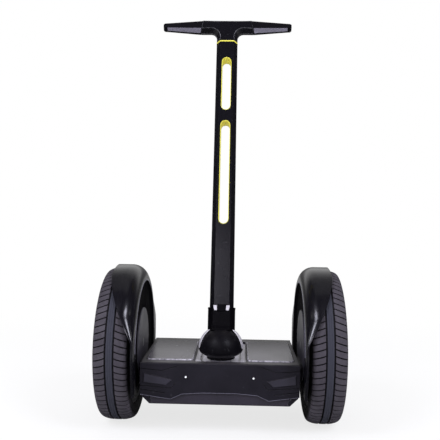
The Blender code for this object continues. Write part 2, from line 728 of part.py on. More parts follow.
def console_trim():
    """A moulded insert on both sides of the ball, joined behind it.

    Its front ends slope down to a point, so that the base of the ball clears them.
    """
    outer = CONSOLE_HALF - GAP
    front, rear = CONSOLE_FRONT + GAP, CONSOLE_REAR - GAP
    corner = CONSOLE_CORNER
    half = [(outer - corner, rear), (outer, rear - corner), (outer, front + corner),
            (outer - corner, front), (TRIM_NOSE, front), (TRIM_INNER - 0.002, PIVOT_Y - COLUMN_HALF_X),
            (TRIM_INNER, PIVOT_Y), (TRIM_INNER, rear - TRIM_BRIDGE)]
    outline = half + [(-x, y) for x, y in reversed(half)]
    bm = bmesh.new()
    prism(bm, outline, CONSOLE_FLOOR + GAP, TRIM_TOP, "Z")
    bmesh.ops.triangulate(bm, faces=[f for f in bm.faces if len(f.verts) > 4])
    for vert in bm.verts:
        if vert.co.z > TRIM_TOP - 1e-5 and abs(abs(vert.co.x) - TRIM_NOSE) < 1e-5:
            vert.co.z = CONSOLE_FLOOR + TRIM_TIP
    piece("console_trim", bm, "trim")


def fascia_outline(top):
    dip = BASE_HALF - FASCIA_DIP_INSET
    half = [(FASCIA_ARCH_X, FASCIA_ARCH_Z), (dip - FASCIA_RISE, FASCIA_ARCH_Z - 0.004),
            (dip, FASCIA_DIP_Z), (BASE_HALF, FASCIA_CORNER_Z), (BASE_HALF, top)]
    return half + [(-x, z) for x, z in reversed(half)]


def from_side(points, side):
    return [(side * (BASE_HALF - inset), z) for inset, z in points]


def stroke(points, width):
    """Outline of a groove of constant width along a bent line of points."""
    upper, lower = [], []
    for i, (x, z) in enumerate(points):
        before = points[max(i - 1, 0)]
        after = points[min(i + 1, len(points) - 1)]
        heading = Vector((after[0] - before[0], after[1] - before[1])).normalized()
        across = Vector((-heading.y, heading.x)) * width / 2
        upper.append((x + across.x, z + across.y))
        lower.append((x - across.x, z - across.y))
    return upper + list(reversed(lower))


def fascia(name, facing):
    """A moulded end panel. facing is -1 at the front and 1 at the rear."""
    face = facing * BASE_DEPTH
    inner = facing * (BASE_DEPTH - FASCIA_THICK)
    bm = bmesh.new()
    prism(bm, fascia_outline(FASCIA_TOP), min(face, inner), max(face, inner), "Y")
    edges = [e for e in bm.edges if all(v.co.z > FASCIA_TOP - 1e-5 and abs(v.co.y - face) < 1e-5
                                        for v in e.verts)]
    bevel_edges(bm, edges, FASCIA_THICK * 0.7, 2)
    obj = piece(name, bm, "satin")
    for side, label in ((-1, "left"), (1, "right")):
        wrap = bmesh.new()
        x_ends = sorted((side * (TUB_HALF + GAP), side * BASE_HALF))
        y_ends = sorted((facing * (BASE_DEPTH - 0.001), facing * (BASE_DEPTH - FASCIA_RETURN)))
        box(wrap, (x_ends[0], y_ends[0], FASCIA_CORNER_Z + 0.001),
            (x_ends[1], y_ends[1], DECK_BOTTOM - GAP))
        join(obj, wrap, f"{label}_return")
        raised = bmesh.new()
        start, end = sorted((facing * (BASE_DEPTH - 0.001), facing * (BASE_DEPTH + 0.0002)))
        caps = prism(raised, from_side(FACET_OUTLINE, side), start, end, "Y")
        outer_cap = max(caps, key=lambda cap: facing * cap.calc_center_median().y)
        bmesh.ops.recalc_face_normals(raised, faces=raised.faces)
        bmesh.ops.inset_region(raised, faces=[outer_cap], thickness=FACET_HEIGHT, depth=FACET_HEIGHT)
        join(obj, raised, f"{label}_facet")
    grooves = bmesh.new()
    ends = sorted((facing * (BASE_DEPTH - GROOVE_CUT), facing * (BASE_DEPTH + 0.002)))
    for side in (-1, 1):
        for line in FASCIA_GROOVES:
            prism(grooves, stroke(from_side(line, side), GROOVE_LINE), ends[0], ends[1], "Y")
    cut(obj, grooves, "grooves")
    return obj


def front_fascia():
    obj = fascia("front_fascia", -1)
    bores = bmesh.new()
    for side in (-1, 1):
        prism(bores, polygon((side * LAMP_X, LAMP_Z), LAMP_RADIUS + GAP, 12),
              -BASE_DEPTH - 0.01, -BASE_DEPTH + FASCIA_THICK + 0.01, "Y")
    cut(obj, bores, "lamp_bores")
    for side, name in ((-1, "left_headlamp"), (1, "right_headlamp")):
        back = BASE_DEPTH - FASCIA_THICK
        profile = [(-back, 0), (-back, LAMP_RADIUS), (-BASE_DEPTH, LAMP_RADIUS),
                   (-BASE_DEPTH - 0.0012, LAMP_RADIUS * 0.6), (-BASE_DEPTH - 0.0015, 0)]
        bm = bmesh.new()
        lathe(bm, profile, "Y", 12, (side * LAMP_X, 0, LAMP_Z), solid=True)
        piece(name, bm, "lens")


def rear_fascia():
    obj = fascia("rear_fascia", 1)
    low, high = BASE_DEPTH - FASCIA_THICK - 0.01, BASE_DEPTH + 0.01
    holes = bmesh.new()
    prism(holes, polygon((PORT_X, PORT_Z), PORT_RADIUS + GAP, 16), low, high, "Y")
    prism(holes, polygon((BUTTON_X, PORT_Z), BUTTON_RADIUS + GAP, 16),
          low, high, "Y")
    prism(holes, round_box(-TAIL_HALF - GAP, TAIL_HALF + GAP, TAIL_Z - TAIL_HEIGHT / 2 - GAP,
                           TAIL_Z + TAIL_HEIGHT / 2 + GAP, 0.003, 2), low, high, "Y")
    cut(obj, holes, "holes")

    bm = bmesh.new()
    prism(bm, round_box(-TAIL_HALF, TAIL_HALF, TAIL_Z - TAIL_HEIGHT / 2, TAIL_Z + TAIL_HEIGHT / 2,
                        0.0027, 2), BASE_DEPTH - FASCIA_THICK, BASE_DEPTH + 0.0008, "Y")
    piece("tail_lamp", bm, "red")

    start = TUB_DEPTH + GAP
    floor = start + 0.002
    profile = [(floor, 0), (floor, PORT_HOLE), (BASE_DEPTH, PORT_HOLE), (BASE_DEPTH, PORT_RADIUS),
               (start, PORT_RADIUS), (start, 0)]
    bm = bmesh.new()
    lathe(bm, profile, "Y", 16, (PORT_X, 0, PORT_Z), solid=True)
    piece("charging_socket", bm, "steel")


def power_button():
    frame = frame_at("power_button_slide", (BUTTON_X, BASE_DEPTH, PORT_Z))
    back = -(FASCIA_THICK + 0.002)
    profile = [(back, 0), (back, BUTTON_RADIUS), (BUTTON_PROUD - 0.0008, BUTTON_RADIUS),
               (BUTTON_PROUD, BUTTON_RADIUS - 0.001), (BUTTON_PROUD - 0.0005, 0)]
    bm = bmesh.new()
    lathe(bm, profile, "Y", 16, solid=True)
    piece("power_button", bm, "trim", frame)


def port_cap():
    radius = CAP_THICK / 2
    frame = frame_at("port_cap_hinge", (PORT_X, BASE_DEPTH + GAP + radius, PORT_Z + CAP_HALF + radius))
    bm = bmesh.new()
    outline = arc((0, 0), radius, radius, 0, 180, 4)
    outline += [(-radius, -2 * CAP_HALF), (radius * 0.4, -2 * CAP_HALF), (radius, -2 * CAP_HALF + 0.002)]
    prism(bm, outline, -CAP_HALF, CAP_HALF, "X")
    piece("port_cap", bm, "grip", frame)


def belly_cover():
    front = BASE_DEPTH - FASCIA_THICK - GAP
    bm = bmesh.new()
    outline = [(-front, BELLY_LIP_TOP), (-front, BELLY_BOTTOM + 0.003), (-front + 0.003, BELLY_BOTTOM),
               (front - 0.003, BELLY_BOTTOM), (front, BELLY_BOTTOM + 0.003), (front, BELLY_LIP_TOP),
               (front - BELLY_LIP, BELLY_LIP_TOP), (front - BELLY_LIP, BELLY_BOTTOM + BELLY_THICK),
               (-front + BELLY_LIP, BELLY_BOTTOM + BELLY_THICK), (-front + BELLY_LIP, BELLY_LIP_TOP)]
    prism(bm, outline, -BELLY_HALF, BELLY_HALF, "X")
    obj = piece("belly_cover", bm, "belly")
    ribs = bmesh.new()
    for i in (-3, -2, -1, 1, 2, 3):
        x = i * CHANNEL_PITCH
        box(ribs, (x - CHANNEL_HALF, CHANNEL_FRONT_INSET - BASE_DEPTH, BELLY_BOTTOM - 0.002),
            (x + CHANNEL_HALF, BASE_DEPTH - CHANNEL_REAR_INSET, BELLY_BOTTOM + CHANNEL_DEPTH))
    cut(obj, ribs, "channels")


def battery_pack():
    bm = bmesh.new()
    floor = TUB_FLOOR + GAP
    rear = TUB_DEPTH - BATTERY_SETBACK
    box(bm, (-BATTERY_HALF, BATTERY_FRONT, floor), (BATTERY_HALF, rear, floor + BATTERY_HEIGHT))
    bevel_edges(bm, list(bm.edges), 0.004, 1)
    piece("battery_pack", bm, "pack")


def power_controller():
    """Control unit whose top is a finned heat sink."""
    floor = TUB_FLOOR + GAP
    left = CONTROLLER_INSET - TUB_HALF
    right = left + CONTROLLER_WIDTH
    pitch = CONTROLLER_WIDTH / (2 * CONTROLLER_FINS - 1)
    outline = [(left, floor), (right, floor)]
    for i in range(CONTROLLER_FINS):
        x = right - 2 * i * pitch
        outline += [(x, floor + FIN_TIP), (x - pitch, floor + FIN_TIP)]
        if i < CONTROLLER_FINS - 1:
            outline += [(x - pitch, floor + FIN_ROOT), (x - 2 * pitch, floor + FIN_ROOT)]
    bm = bmesh.new()
    prism(bm, outline, CONTROLLER_SETBACK - TUB_DEPTH, BATTERY_FRONT - UNIT_SPACING, "Y")
    piece("power_controller", bm, "cast")


# Steering

def column_outline(extra):
    straight = COLUMN_HALF_Y - COLUMN_HALF_X
    radius = COLUMN_HALF_X + extra
    points = arc((0, PIVOT_Y + straight), radius, radius, 0, 180, 6)
    return points + arc((0, PIVOT_Y - straight), radius, radius, 180, 360, 6)


def steering_pedestal():
    floor = TUB_FLOOR + GAP
    bm = bmesh.new()
    prism(bm, column_outline(0), floor, COLUMN_TOP, "Z")
    obj = piece("steering_pedestal", bm, "cast")
    foot = bmesh.new()
    half = PEDESTAL_FOOT
    prism(foot, round_box(-half, half, PIVOT_Y - half - 0.006, PIVOT_Y + half + 0.006, 0.010),
          floor, floor + PEDESTAL_FLANGE, "Z")
    join(obj, foot, "foot")
    lugs = bmesh.new()
    for facing in (-1, 1):
        low, high = sorted((PIVOT_Y + facing * LUG_INNER, PIVOT_Y + facing * LUG_OUTER))
        outline = arc((0, PIVOT_Z), LUG_RADIUS, LUG_RADIUS, 0, 180, 6)
        outline += [(-LUG_RADIUS + 0.006, COLUMN_TOP - 0.004), (LUG_RADIUS - 0.006, COLUMN_TOP - 0.004)]
        prism(lugs, outline, low, high, "Y")
    join(obj, lugs, "lugs")
    bore = bmesh.new()
    prism(bore, polygon((0, PIVOT_Z), PIVOT_PIN + GAP, 16),
          PIVOT_Y - LUG_OUTER - 0.01, PIVOT_Y + LUG_OUTER + 0.01, "Y")
    cut(obj, bore, "bore")


def pivot_fittings():
    centre = (0, PIVOT_Y, PIVOT_Z)
    head = LUG_OUTER + GAP
    end = head + 0.004
    profile = [(-end, 0), (-end, PIVOT_PIN + 0.004), (-head, PIVOT_PIN + 0.004), (-head, PIVOT_PIN),
               (head, PIVOT_PIN), (head, PIVOT_PIN + 0.003), (end, PIVOT_PIN + 0.003), (end, 0)]
    bm = bmesh.new()
    lathe(bm, profile, "Y", 16, centre, solid=True)
    piece("pivot_shaft", bm, "steel")

    half = LUG_INNER - GAP
    bm = bmesh.new()
    bore = PIVOT_PIN + GAP
    lathe(bm, [(-half, bore), (-half, BUSH_RADIUS), (half, BUSH_RADIUS), (half, bore)], "Y", 16, centre)
    piece("pivot_bush", bm, "copper")

    low = COLUMN_TOP + GAP
    saddle = PIVOT_Z - LUG_RADIUS - GAP
    inner = LUG_RADIUS + 0.0005
    outline = [(-WING_HALF, low), (WING_HALF, low), (WING_HALF, BUFFER_TOP), (inner, BUFFER_TOP),
               (inner, saddle), (-inner, saddle), (-inner, BUFFER_TOP), (-WING_HALF, BUFFER_TOP)]
    bm = bmesh.new()
    prism(bm, outline, PIVOT_Y - BUFFER_HALF, PIVOT_Y + BUFFER_HALF, "Y")
    piece("centring_buffer", bm, "rubber")


def steering_knuckle(pivot):
    half = LUG_INNER - GAP
    bm = bmesh.new()
    lathe(bm, [(-half, 0), (-half, LUG_RADIUS), (half, LUG_RADIUS), (half, 0)], "Y", 20, solid=True)
    obj = piece("steering_knuckle", bm, "cast", pivot)
    wings = bmesh.new()
    for side in (-1, 1):
        ends = sorted((side * (BUSH_RADIUS + 0.0025), side * WING_HALF))
        box(wings, (ends[0], -0.012, 0), (ends[1], 0.012, 0.008))
    join(obj, wings, "wings")
    stem = bmesh.new()
    box(stem, (-STEM_HALF, -STEM_HALF, BUSH_RADIUS + 0.0022), (STEM_HALF, STEM_HALF, BALL_CUT))
    bmesh.ops.rotate(stem, verts=stem.verts, cent=(0, 0, 0), matrix=Matrix.Rotation(-LEAN, 3, "X"))
    join(obj, stem, "stem")
    bore = bmesh.new()
    prism(bore, polygon((0, 0), BUSH_RADIUS + GAP, 20), -half - 0.01, half + 0.01, "Y")
    cut(obj, bore, "bore")


def ball_cover(pivot):
    def dome(radius):
        return [(z, r) for r, z in arc((0, 0), radius, radius, 0, 69, 3)] + [(radius, 0)]

    outer = [(-BALL_RIM_DROP, BALL_RIM), (-BALL_RIM_DROP * 0.77, BALL_RIM + 0.011),
             (-BALL_RIM_DROP * 0.42, BALL_RIM + 0.0175)] + dome(BALL_RADIUS)
    inner_radius = BALL_RADIUS - BALL_WALL
    inner = [(-BALL_RIM_DROP, BALL_RIM - BALL_WALL), (-BALL_RIM_DROP * 0.66, BALL_RIM + 0.0085),
             (-BALL_RIM_DROP * 0.32, BALL_RIM + 0.0145)] + dome(inner_radius)
    bm = bmesh.new()
    lathe(bm, list(reversed(outer)) + inner, "Z", 20, solid=True)
    obj = piece("ball_cover", bm, "gloss", pivot)
    above = bmesh.new()
    half = BALL_RADIUS * 1.1
    box(above, (-half, -half, BALL_CUT), (half, half, BALL_CUT + half))
    bmesh.ops.rotate(above, verts=above.verts, cent=(0, 0, 0), matrix=Matrix.Rotation(-LEAN, 3, "X"))
    cut(obj, above, "top")


def ball_trim(name, side, post):
    inner, outer, half = BALL_RADIUS + GAP, BALL_RADIUS + 0.0018, 0.006
    rings = []
    for i in range(9):
        angle = math.radians(41 + (92 - 41) * i / 8)
        section = ((inner, -half), (outer, -half * 0.8), (outer, half * 0.8), (inner, half))
        rings.append([(side * r * math.sin(angle), y, r * math.cos(angle)) for r, y in section])
    bm = bmesh.new()
    loft(bm, rings)
    piece(name, bm, "trim", post)


def post_rings(extra, low, high):
    """Octagon rings of the post's outside, grown by extra."""
    rings = []
    for s in (low, high):
        t = (s - POST_FOOT) / (POST_TOP - POST_FOOT)
        half = POST_HALF_FOOT + (POST_HALF_HEAD - POST_HALF_FOOT) * t + extra
        depth = POST_DEPTH_FOOT + (POST_DEPTH_HEAD - POST_DEPTH_FOOT) * t + extra
        rings.append([(x, y, s) for x, y in octagon(half, depth, POST_FLAT + extra * 0.4, POST_EDGE)])
    return rings


def post_sleeve(post):
    rings = []
    for s, half, depth in (
        (BALL_CUT + GAP, SLEEVE_HALF - 0.001, 0.0300),
        (BALL_CUT + 0.0045, SLEEVE_HALF, 0.0300),
        (BALL_CUT + 0.0125, SLEEVE_HALF, SLEEVE_DEPTH),
        (SLEEVE_TOP - 0.004, SLEEVE_HALF, SLEEVE_DEPTH),
        (SLEEVE_TOP - 0.0036, SLEEVE_HALF + SLEEVE_LIP, SLEEVE_DEPTH + SLEEVE_LIP),
        (SLEEVE_TOP, SLEEVE_HALF + SLEEVE_LIP, SLEEVE_DEPTH + SLEEVE_LIP),
    ):
        rings.append([(x, y, s) for x, y in octagon(half, depth, POST_FLAT + 0.0025, POST_EDGE + 0.0015)])
    bm = bmesh.new()
    loft(bm, rings)
    obj = piece("post_sleeve", bm, "gloss", post)
    socket = bmesh.new()
    loft(socket, post_rings(GAP, POST_FOOT - GAP, SLEEVE_TOP + 0.01))
    cut(obj, socket, "socket")
    window = bmesh.new()
    prism(window, latch_outline(GAP), -SLEEVE_DEPTH - 0.01, -POST_DEPTH_FOOT + 0.004, "Y")
    cut(obj, window, "latch_window")


def latch_outline(extra):
    low, high = LATCH_BOTTOM - extra, LATCH_TOP + extra
    return [(-LATCH_HALF - extra, low), (LATCH_HALF + extra, low),
            (LATCH_HALF + 0.0018 + extra, high), (-LATCH_HALF - 0.0018 - extra, high)]


def latch_button(post):
    front = -(SLEEVE_DEPTH + SLEEVE_LIP + 0.0018)
    back = -(POST_DEPTH_FOOT + GAP * 2 + LATCH_TRAVEL)
    bm = bmesh.new()
    first, last = prism(bm, latch_outline(0), front + 0.001, back, "Y")
    bmesh.ops.recalc_face_normals(bm, faces=bm.faces)
    bmesh.ops.inset_region(bm, faces=[first], thickness=0.0015, depth=0.001)
    piece("latch_button", bm, "satin", post)


def post_tube(post):
    bm = bmesh.new()
    loft(bm, post_rings(0, POST_FOOT, POST_TOP))
    obj = piece("post_tube", bm, "satin", post)
    hollow = bmesh.new()
    loft(hollow, post_rings(-POST_WALL, POST_FOOT - 0.01, POST_TOP + 0.01))
    cut(obj, hollow, "hollow")
    slots = bmesh.new()
    for low, high in (UPPER_SLOT, LOWER_SLOT):
        prism(slots, obround(SLOT_HALF, low, high), -POST_DEPTH_FOOT - 0.01, POST_DEPTH_FOOT + 0.01, "Y")
    cut(obj, slots, "slots")


def slot_liner(name, span, post):
    low, high = span
    half = SLOT_HALF - GAP
    depth = POST_DEPTH_HEAD - 0.0002
    outer = obround(half, low + GAP, high - GAP)
    inner = obround(half - LINER_WALL, low + GAP + LINER_WALL, high - GAP - LINER_WALL)
    rings = [[(x, -depth, s) for x, s in outer], [(x, depth, s) for x, s in outer],
             [(x, depth, s) for x, s in inner], [(x, -depth, s) for x, s in inner]]
    bm = bmesh.new()
    loft(bm, rings, loop=True)
    piece(name, bm, "yellow", post)


def post_ring(post):
    outer = octagon(POST_HALF_HEAD + 0.0004, POST_DEPTH_HEAD + 0.0004, POST_FLAT, POST_EDGE)
    inner = octagon(POST_HALF_HEAD - 0.004, POST_DEPTH_HEAD - 0.004, POST_FLAT - 0.0015, POST_EDGE)
    low, high = RING_FOOT, RING_FOOT + RING_THICK
    rings = [[(x, y, low) for x, y in outer], [(x, y, high) for x, y in outer],
             [(x, y, high) for x, y in inner], [(x, y, low) for x, y in inner]]
    bm = bmesh.new()
    loft(bm, rings, loop=True)
    piece("post_ring", bm, "yellow", post)


def arm_ring(x, half, depth, middle):
    """Section across an arm of the handlebar: tall flats front and back, facets above and below."""
    edge = depth * POST_EDGE / POST_DEPTH_HEAD
    points = [(-depth, -half / 2), (-edge, -half), (edge, -half), (depth, -half / 2),
              (depth, half / 2), (edge, half), (-edge, half), (-depth, half / 2)]
    return [(x, y, middle + s) for y, s in points]


def arm_size(x):
    """Half height and half depth of an arm at a distance from the middle."""
    t = (abs(x) - ARM_ROOT) / (ARM_END - ARM_ROOT)
    root = (ARM_TOP - ARM_BOTTOM) / 2
    return root + (ARM_END_HALF - root) * t, POST_DEPTH_HEAD + (ARM_END_DEPTH - POST_DEPTH_HEAD) * t


def handlebar(post):
    half = POST_HALF_HEAD
    fillet = arc((half + HEAD_FILLET, ARM_BOTTOM - HEAD_FILLET), HEAD_FILLET, HEAD_FILLET, 180, 90, 5)
    reach = ARM_ROOT + 0.030
    right = [(half, HEAD_FOOT - 0.02)] + fillet + [(reach, ARM_BOTTOM), (reach, ARM_TOP),
                                                   (ARM_ROOT * 0.5, ARM_TOP + 0.0006)]
    outline = right + [(-x, s) for x, s in reversed(right)]
    inset = POST_HALF_HEAD - POST_FLAT
    bm = bmesh.new()
    faces = prism(bm, outline, -POST_EDGE, POST_EDGE, "Y")
    bmesh.ops.recalc_face_normals(bm, faces=bm.faces)
    for face in faces:
        bmesh.ops.inset_region(bm, faces=[face], thickness=inset, depth=POST_DEPTH_HEAD - POST_EDGE)
    middle = (ARM_BOTTOM + ARM_TOP) / 2
    slant = 2 * ARM_SLANT / (ARM_TOP - ARM_BOTTOM)
    planes = [((0, 0, HEAD_FOOT), (0, 0, -1)), ((ARM_ROOT, 0, middle), (1, 0, slant)),
              ((-ARM_ROOT, 0, middle), (-1, 0, slant))]
    for point, normal in planes:
        geometry = list(bm.verts) + list(bm.edges) + list(bm.faces)
        sliced = bmesh.ops.bisect_plane(bm, geom=geometry, dist=1e-6, plane_co=point, plane_no=normal,
                                        clear_outer=True)
        rim_edges = [item for item in sliced["geom_cut"] if isinstance(item, bmesh.types.BMEdge)]
        bmesh.ops.contextual_create(bm, geom=rim_edges)
    obj = piece("handlebar", bm, "satin", post)
    core = bmesh.new()
    rings = []
    for x in (-ARM_END + END_CAP + 0.001, -ARM_ROOT * 0.6, ARM_ROOT * 0.6, ARM_END - END_CAP - 0.001):
        height, depth = arm_size(max(abs(x), ARM_ROOT))
        rings.append(arm_ring(x, height - GRIP_WALL - GAP, depth - GRIP_WALL - GAP, middle))
    loft(core, rings)
    join(obj, core, "core_bar")


def grip(name, side, post):
    middle = (ARM_BOTTOM + ARM_TOP) / 2
    slant = 2 * ARM_SLANT / (ARM_TOP - ARM_BOTTOM)
    rings = []
    for x, shrink in ((ARM_ROOT, 1.0), (ARM_END - END_CAP, 1.0), (ARM_END - 0.004, 1.0), (ARM_END, 0.80)):
        height, depth = arm_size(x)
        ring = arm_ring(x, height * shrink, depth * shrink, middle)
        if x == ARM_ROOT:
            ring = [(x + GAP + slant * (middle - s), y, s) for x, y, s in ring]
        rings.append([(side * a, y, s) for a, y, s in ring])
    bm = bmesh.new()
    loft(bm, rings)
    obj = piece(name, bm, "grip", post)
    bore = bmesh.new()
    rings = []
    for x in (ARM_ROOT - 0.008, ARM_END - END_CAP - 0.0007):
        height, depth = arm_size(x)
        rings.append([(side * a, y, s) for a, y, s in
                      arm_ring(x, height - GRIP_WALL, depth - GRIP_WALL, middle)])
    loft(bore, rings)
    cut(obj, bore, "bore")


# Stand

def stand_fittings():
    top = BELLY_BOTTOM - GAP
    inner = STAND_LEG_HALF + GAP * 2
    outer = inner + LUG_THICK
    bm = bmesh.new()
    box(bm, (-0.030, STAND_Y - 0.018, top - BRACKET_THICK), (0.030, STAND_Y + 0.018, top))
    obj = piece("stand_bracket", bm, "steel")
    lugs = bmesh.new()
    for side in (-1, 1):
        ends = sorted((side * inner, side * outer))
        outline = arc((STAND_Y, STAND_Z), 0.008, 0.008, 180, 360, 6)
        root = top - BRACKET_THICK + 0.001
        outline += [(STAND_Y + 0.012, root), (STAND_Y - 0.012, root)]
        prism(lugs, outline, ends[0], ends[1], "X")
    join(obj, lugs, "lugs")
    bore = bmesh.new()
    prism(bore, polygon((STAND_Y, STAND_Z), STAND_PIN + GAP, 12), -0.04, 0.04, "X")
    cut(obj, bore, "bore")

    head = outer + GAP
    end = head + 0.0018
    bm = bmesh.new()
    lathe(bm, [(-end, 0), (-end, 0.0062), (-head, 0.0062), (-head, STAND_PIN), (head, STAND_PIN),
               (head, 0.0062), (end, 0.0062), (end, 0)], "X", 12, (0, STAND_Y, STAND_Z), solid=True)
    piece("stand_pin", bm, "steel")


def stand():
    frame = frame_at("stand_hinge", (0, STAND_Y, STAND_Z))
    foot = (STAND_FOOT_Y - STAND_Y, STAND_FOOT_RADIUS - STAND_Z)
    bar_half = STAND_FOOT_HALF - 0.0025

    def leg_and_bar(extra):
        leg, bar = bmesh.new(), bmesh.new()
        prism(leg, bar_outline((0, 0), foot, STAND_HUB + extra, STAND_LEG_END + extra),
              -STAND_LEG_HALF - extra, STAND_LEG_HALF + extra, "X")
        prism(bar, polygon(foot, STAND_BAR_RADIUS + extra, 12), -bar_half - extra, bar_half + extra, "X")
        return leg, bar

    leg, bar = leg_and_bar(0)
    obj = piece("stand_leg", leg, "steel", frame)
    join(obj, bar, "cross_bar")
    bore = bmesh.new()
    prism(bore, polygon((0, 0), STAND_PIN + GAP, 12), -0.03, 0.03, "X")
    cut(obj, bore, "bore")

    radius = STAND_FOOT_RADIUS / math.cos(math.pi / BOOT_SIDES)
    end = STAND_FOOT_HALF
    bm = bmesh.new()
    lathe(bm, [(-end, 0), (-end, radius), (end, radius), (end, 0)], "X", BOOT_SIDES, (0, *foot), solid=True)
    obj = piece("stand_boot", bm, "rubber", frame)
    leg, bar = leg_and_bar(GAP)
    cut(obj, leg, "leg_socket")
    cut(obj, bar, "bar_socket")


def build():
    clear_scene()
    chassis_tub()
    deck_cover()
    front_fascia()
    rear_fascia()
    belly_cover()
    battery_pack()
    power_controller()
    pad_switch_board()
    console_trim()
    steering_pedestal()
    pivot_fittings()
    stand_fittings()
    stand()
    power_button()
    port_cap()
    for side, name in ((-1, "left"), (1, "right")):
        foot_pad(f"{name}_foot_pad", side)
        fender(f"{name}_fender", side)
        axle_plate(f"{name}_axle_plate", side)
        axle_and_stator(name, side, (0, 0, AXLE_Z))
        wheel = frame_at(f"{name}_wheel_axis", (side * TRACK_HALF, 0, AXLE_Z))
        tyre(f"{name}_tyre", side, wheel)
        rim(f"{name}_rim", side, wheel)
        motor(name, side, wheel)
    pivot = frame_at("steering_axis", (0, PIVOT_Y, PIVOT_Z))
    post = frame_at("post_axis", (0, 0, 0), pivot, -LEAN)
    steering_knuckle(pivot)
    ball_cover(pivot)
    ball_trim("left_ball_trim", -1, post)
    ball_trim("right_ball_trim", 1, post)
    post_sleeve(post)
    latch_button(post)
    post_tube(post)
    slot_liner("upper_slot_liner", UPPER_SLOT, post)
    slot_liner("lower_slot_liner", LOWER_SLOT, post)
    post_ring(post)
    handlebar(post)
    grip("left_grip", -1, post)
    grip("right_grip", 1, post)


build()
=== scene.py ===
# Looks, lights and camera for a two-wheeled self-balancing board with a leaning post.
# Everything is in metres, +Z up, and the front of the board faces -Y.

import json
import math

import bpy
from mathutils import Matrix, Vector

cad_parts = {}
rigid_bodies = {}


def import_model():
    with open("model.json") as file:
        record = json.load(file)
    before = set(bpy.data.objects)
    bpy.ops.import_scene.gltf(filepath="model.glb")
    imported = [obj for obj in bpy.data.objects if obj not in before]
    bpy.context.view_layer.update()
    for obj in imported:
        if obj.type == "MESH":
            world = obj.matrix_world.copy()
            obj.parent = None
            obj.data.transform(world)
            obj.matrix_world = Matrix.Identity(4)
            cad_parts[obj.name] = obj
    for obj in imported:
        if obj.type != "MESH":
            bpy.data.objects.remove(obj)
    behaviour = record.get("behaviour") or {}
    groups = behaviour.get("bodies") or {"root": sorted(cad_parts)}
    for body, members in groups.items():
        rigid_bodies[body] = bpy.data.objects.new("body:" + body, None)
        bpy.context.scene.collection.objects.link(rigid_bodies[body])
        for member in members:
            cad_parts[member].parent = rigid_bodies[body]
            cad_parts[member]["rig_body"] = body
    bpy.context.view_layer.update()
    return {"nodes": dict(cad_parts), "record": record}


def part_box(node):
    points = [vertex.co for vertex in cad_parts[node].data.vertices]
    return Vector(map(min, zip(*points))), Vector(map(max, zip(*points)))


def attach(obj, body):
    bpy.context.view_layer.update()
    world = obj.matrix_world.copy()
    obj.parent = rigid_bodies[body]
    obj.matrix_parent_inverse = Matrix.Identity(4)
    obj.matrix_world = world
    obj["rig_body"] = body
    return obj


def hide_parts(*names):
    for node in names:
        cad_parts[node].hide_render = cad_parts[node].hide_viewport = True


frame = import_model()
cadNodes = frame["nodes"]
slotOf = {part["node"]: part["material_slot"] for part in frame["record"]["subparts"]}
print("frame loaded:", len(cadNodes), "nodes")


wheelAxle = {"middle": 0.2665, "height": 0.20202}  # of the right wheel
wheelCentre = (wheelAxle["middle"], 0, wheelAxle["height"])
weldWithin = 1e-6


# Helpers for selecting, shaping and finishing

def justMade(name):
    bpy.context.object.name = name
    return bpy.context.object


def editStart(kind="VERT"):
    bpy.ops.object.mode_set(mode="EDIT")
    bpy.ops.mesh.select_mode(type=kind)


def editDone():
    bpy.ops.object.mode_set(mode="OBJECT")


def dropSelection():
    if bpy.context.object and bpy.context.object.mode != "OBJECT":
        editDone()
    bpy.ops.object.select_all(action="DESELECT")


def takeUp(piece):
    dropSelection()
    piece.select_set(True)
    bpy.context.view_layer.objects.active = piece


def selectAll():
    bpy.ops.mesh.select_all(action="SELECT")


def editAll(piece):
    takeUp(piece)
    editStart()
    selectAll()


def editSome(piece, wanted, kind="FACE"):
    # wanted(face) or wanted(edge) says what to select, by its place or normal
    takeUp(piece)
    editStart(kind)
    bpy.ops.mesh.select_all(action="DESELECT")
    editDone()
    for element in piece.data.polygons if kind == "FACE" else piece.data.edges:
        element.select = bool(wanted(element))
    bpy.ops.object.mode_set(mode="EDIT")


def extrudeBy(step):
    bpy.ops.mesh.extrude_region_move(TRANSFORM_OT_translate={"value": step})


def cutBy(point, normal, **settings):
    bpy.ops.mesh.bisect(plane_co=point, plane_no=normal, **settings)


def faceOutwards():
    selectAll()
    bpy.ops.mesh.normals_make_consistent(inside=False)
    editDone()


def useModifier(piece, kind, **settings):
    takeUp(piece)
    modifier = piece.modifiers.new(kind.title(), kind)
    for key, value in settings.items():
        setattr(modifier, key, value)
    bpy.ops.object.modifier_apply(modifier=modifier.name)


def roundEdges(piece, width, sharperThan=30, smoothBelow=38, segments=2):
    # Bevels the edges, marks the bevel's narrow faces in the edge mask (edge wear, and on the foot pads a
    # painted highlight) and shades the piece smooth
    useModifier(piece, "BEVEL", width=width, segments=segments, limit_method="ANGLE",
                angle_limit=math.radians(sharperThan), use_clamp_overlap=True)
    if "edgeWear" not in piece.data.attributes:
        piece.data.attributes.new("edgeWear", "FLOAT", "FACE")
    wear = piece.data.attributes["edgeWear"].data
    for face in piece.data.polygons:
        corners = [piece.data.vertices[v].co for v in face.vertices]
        shortest = min((a - b).length for a, b in zip(corners, corners[1:] + corners[:1]))
        wear[face.index].value = 1.0 if shortest < width * 1.2 else 0.0
    if smoothBelow:
        smoothOver(piece, smoothBelow)


def smoothOver(piece, angle=38, weighted=True):
    takeUp(piece)
    bpy.ops.object.shade_smooth_by_angle(angle=math.radians(angle))
    if weighted:
        useModifier(piece, "WEIGHTED_NORMAL", keep_sharp=True, weight=60)


def onAxis(axis, along, across):
    return {"X": (along, 0, across), "Y": (0, along, across), "Z": (across, 0, along)}[axis]


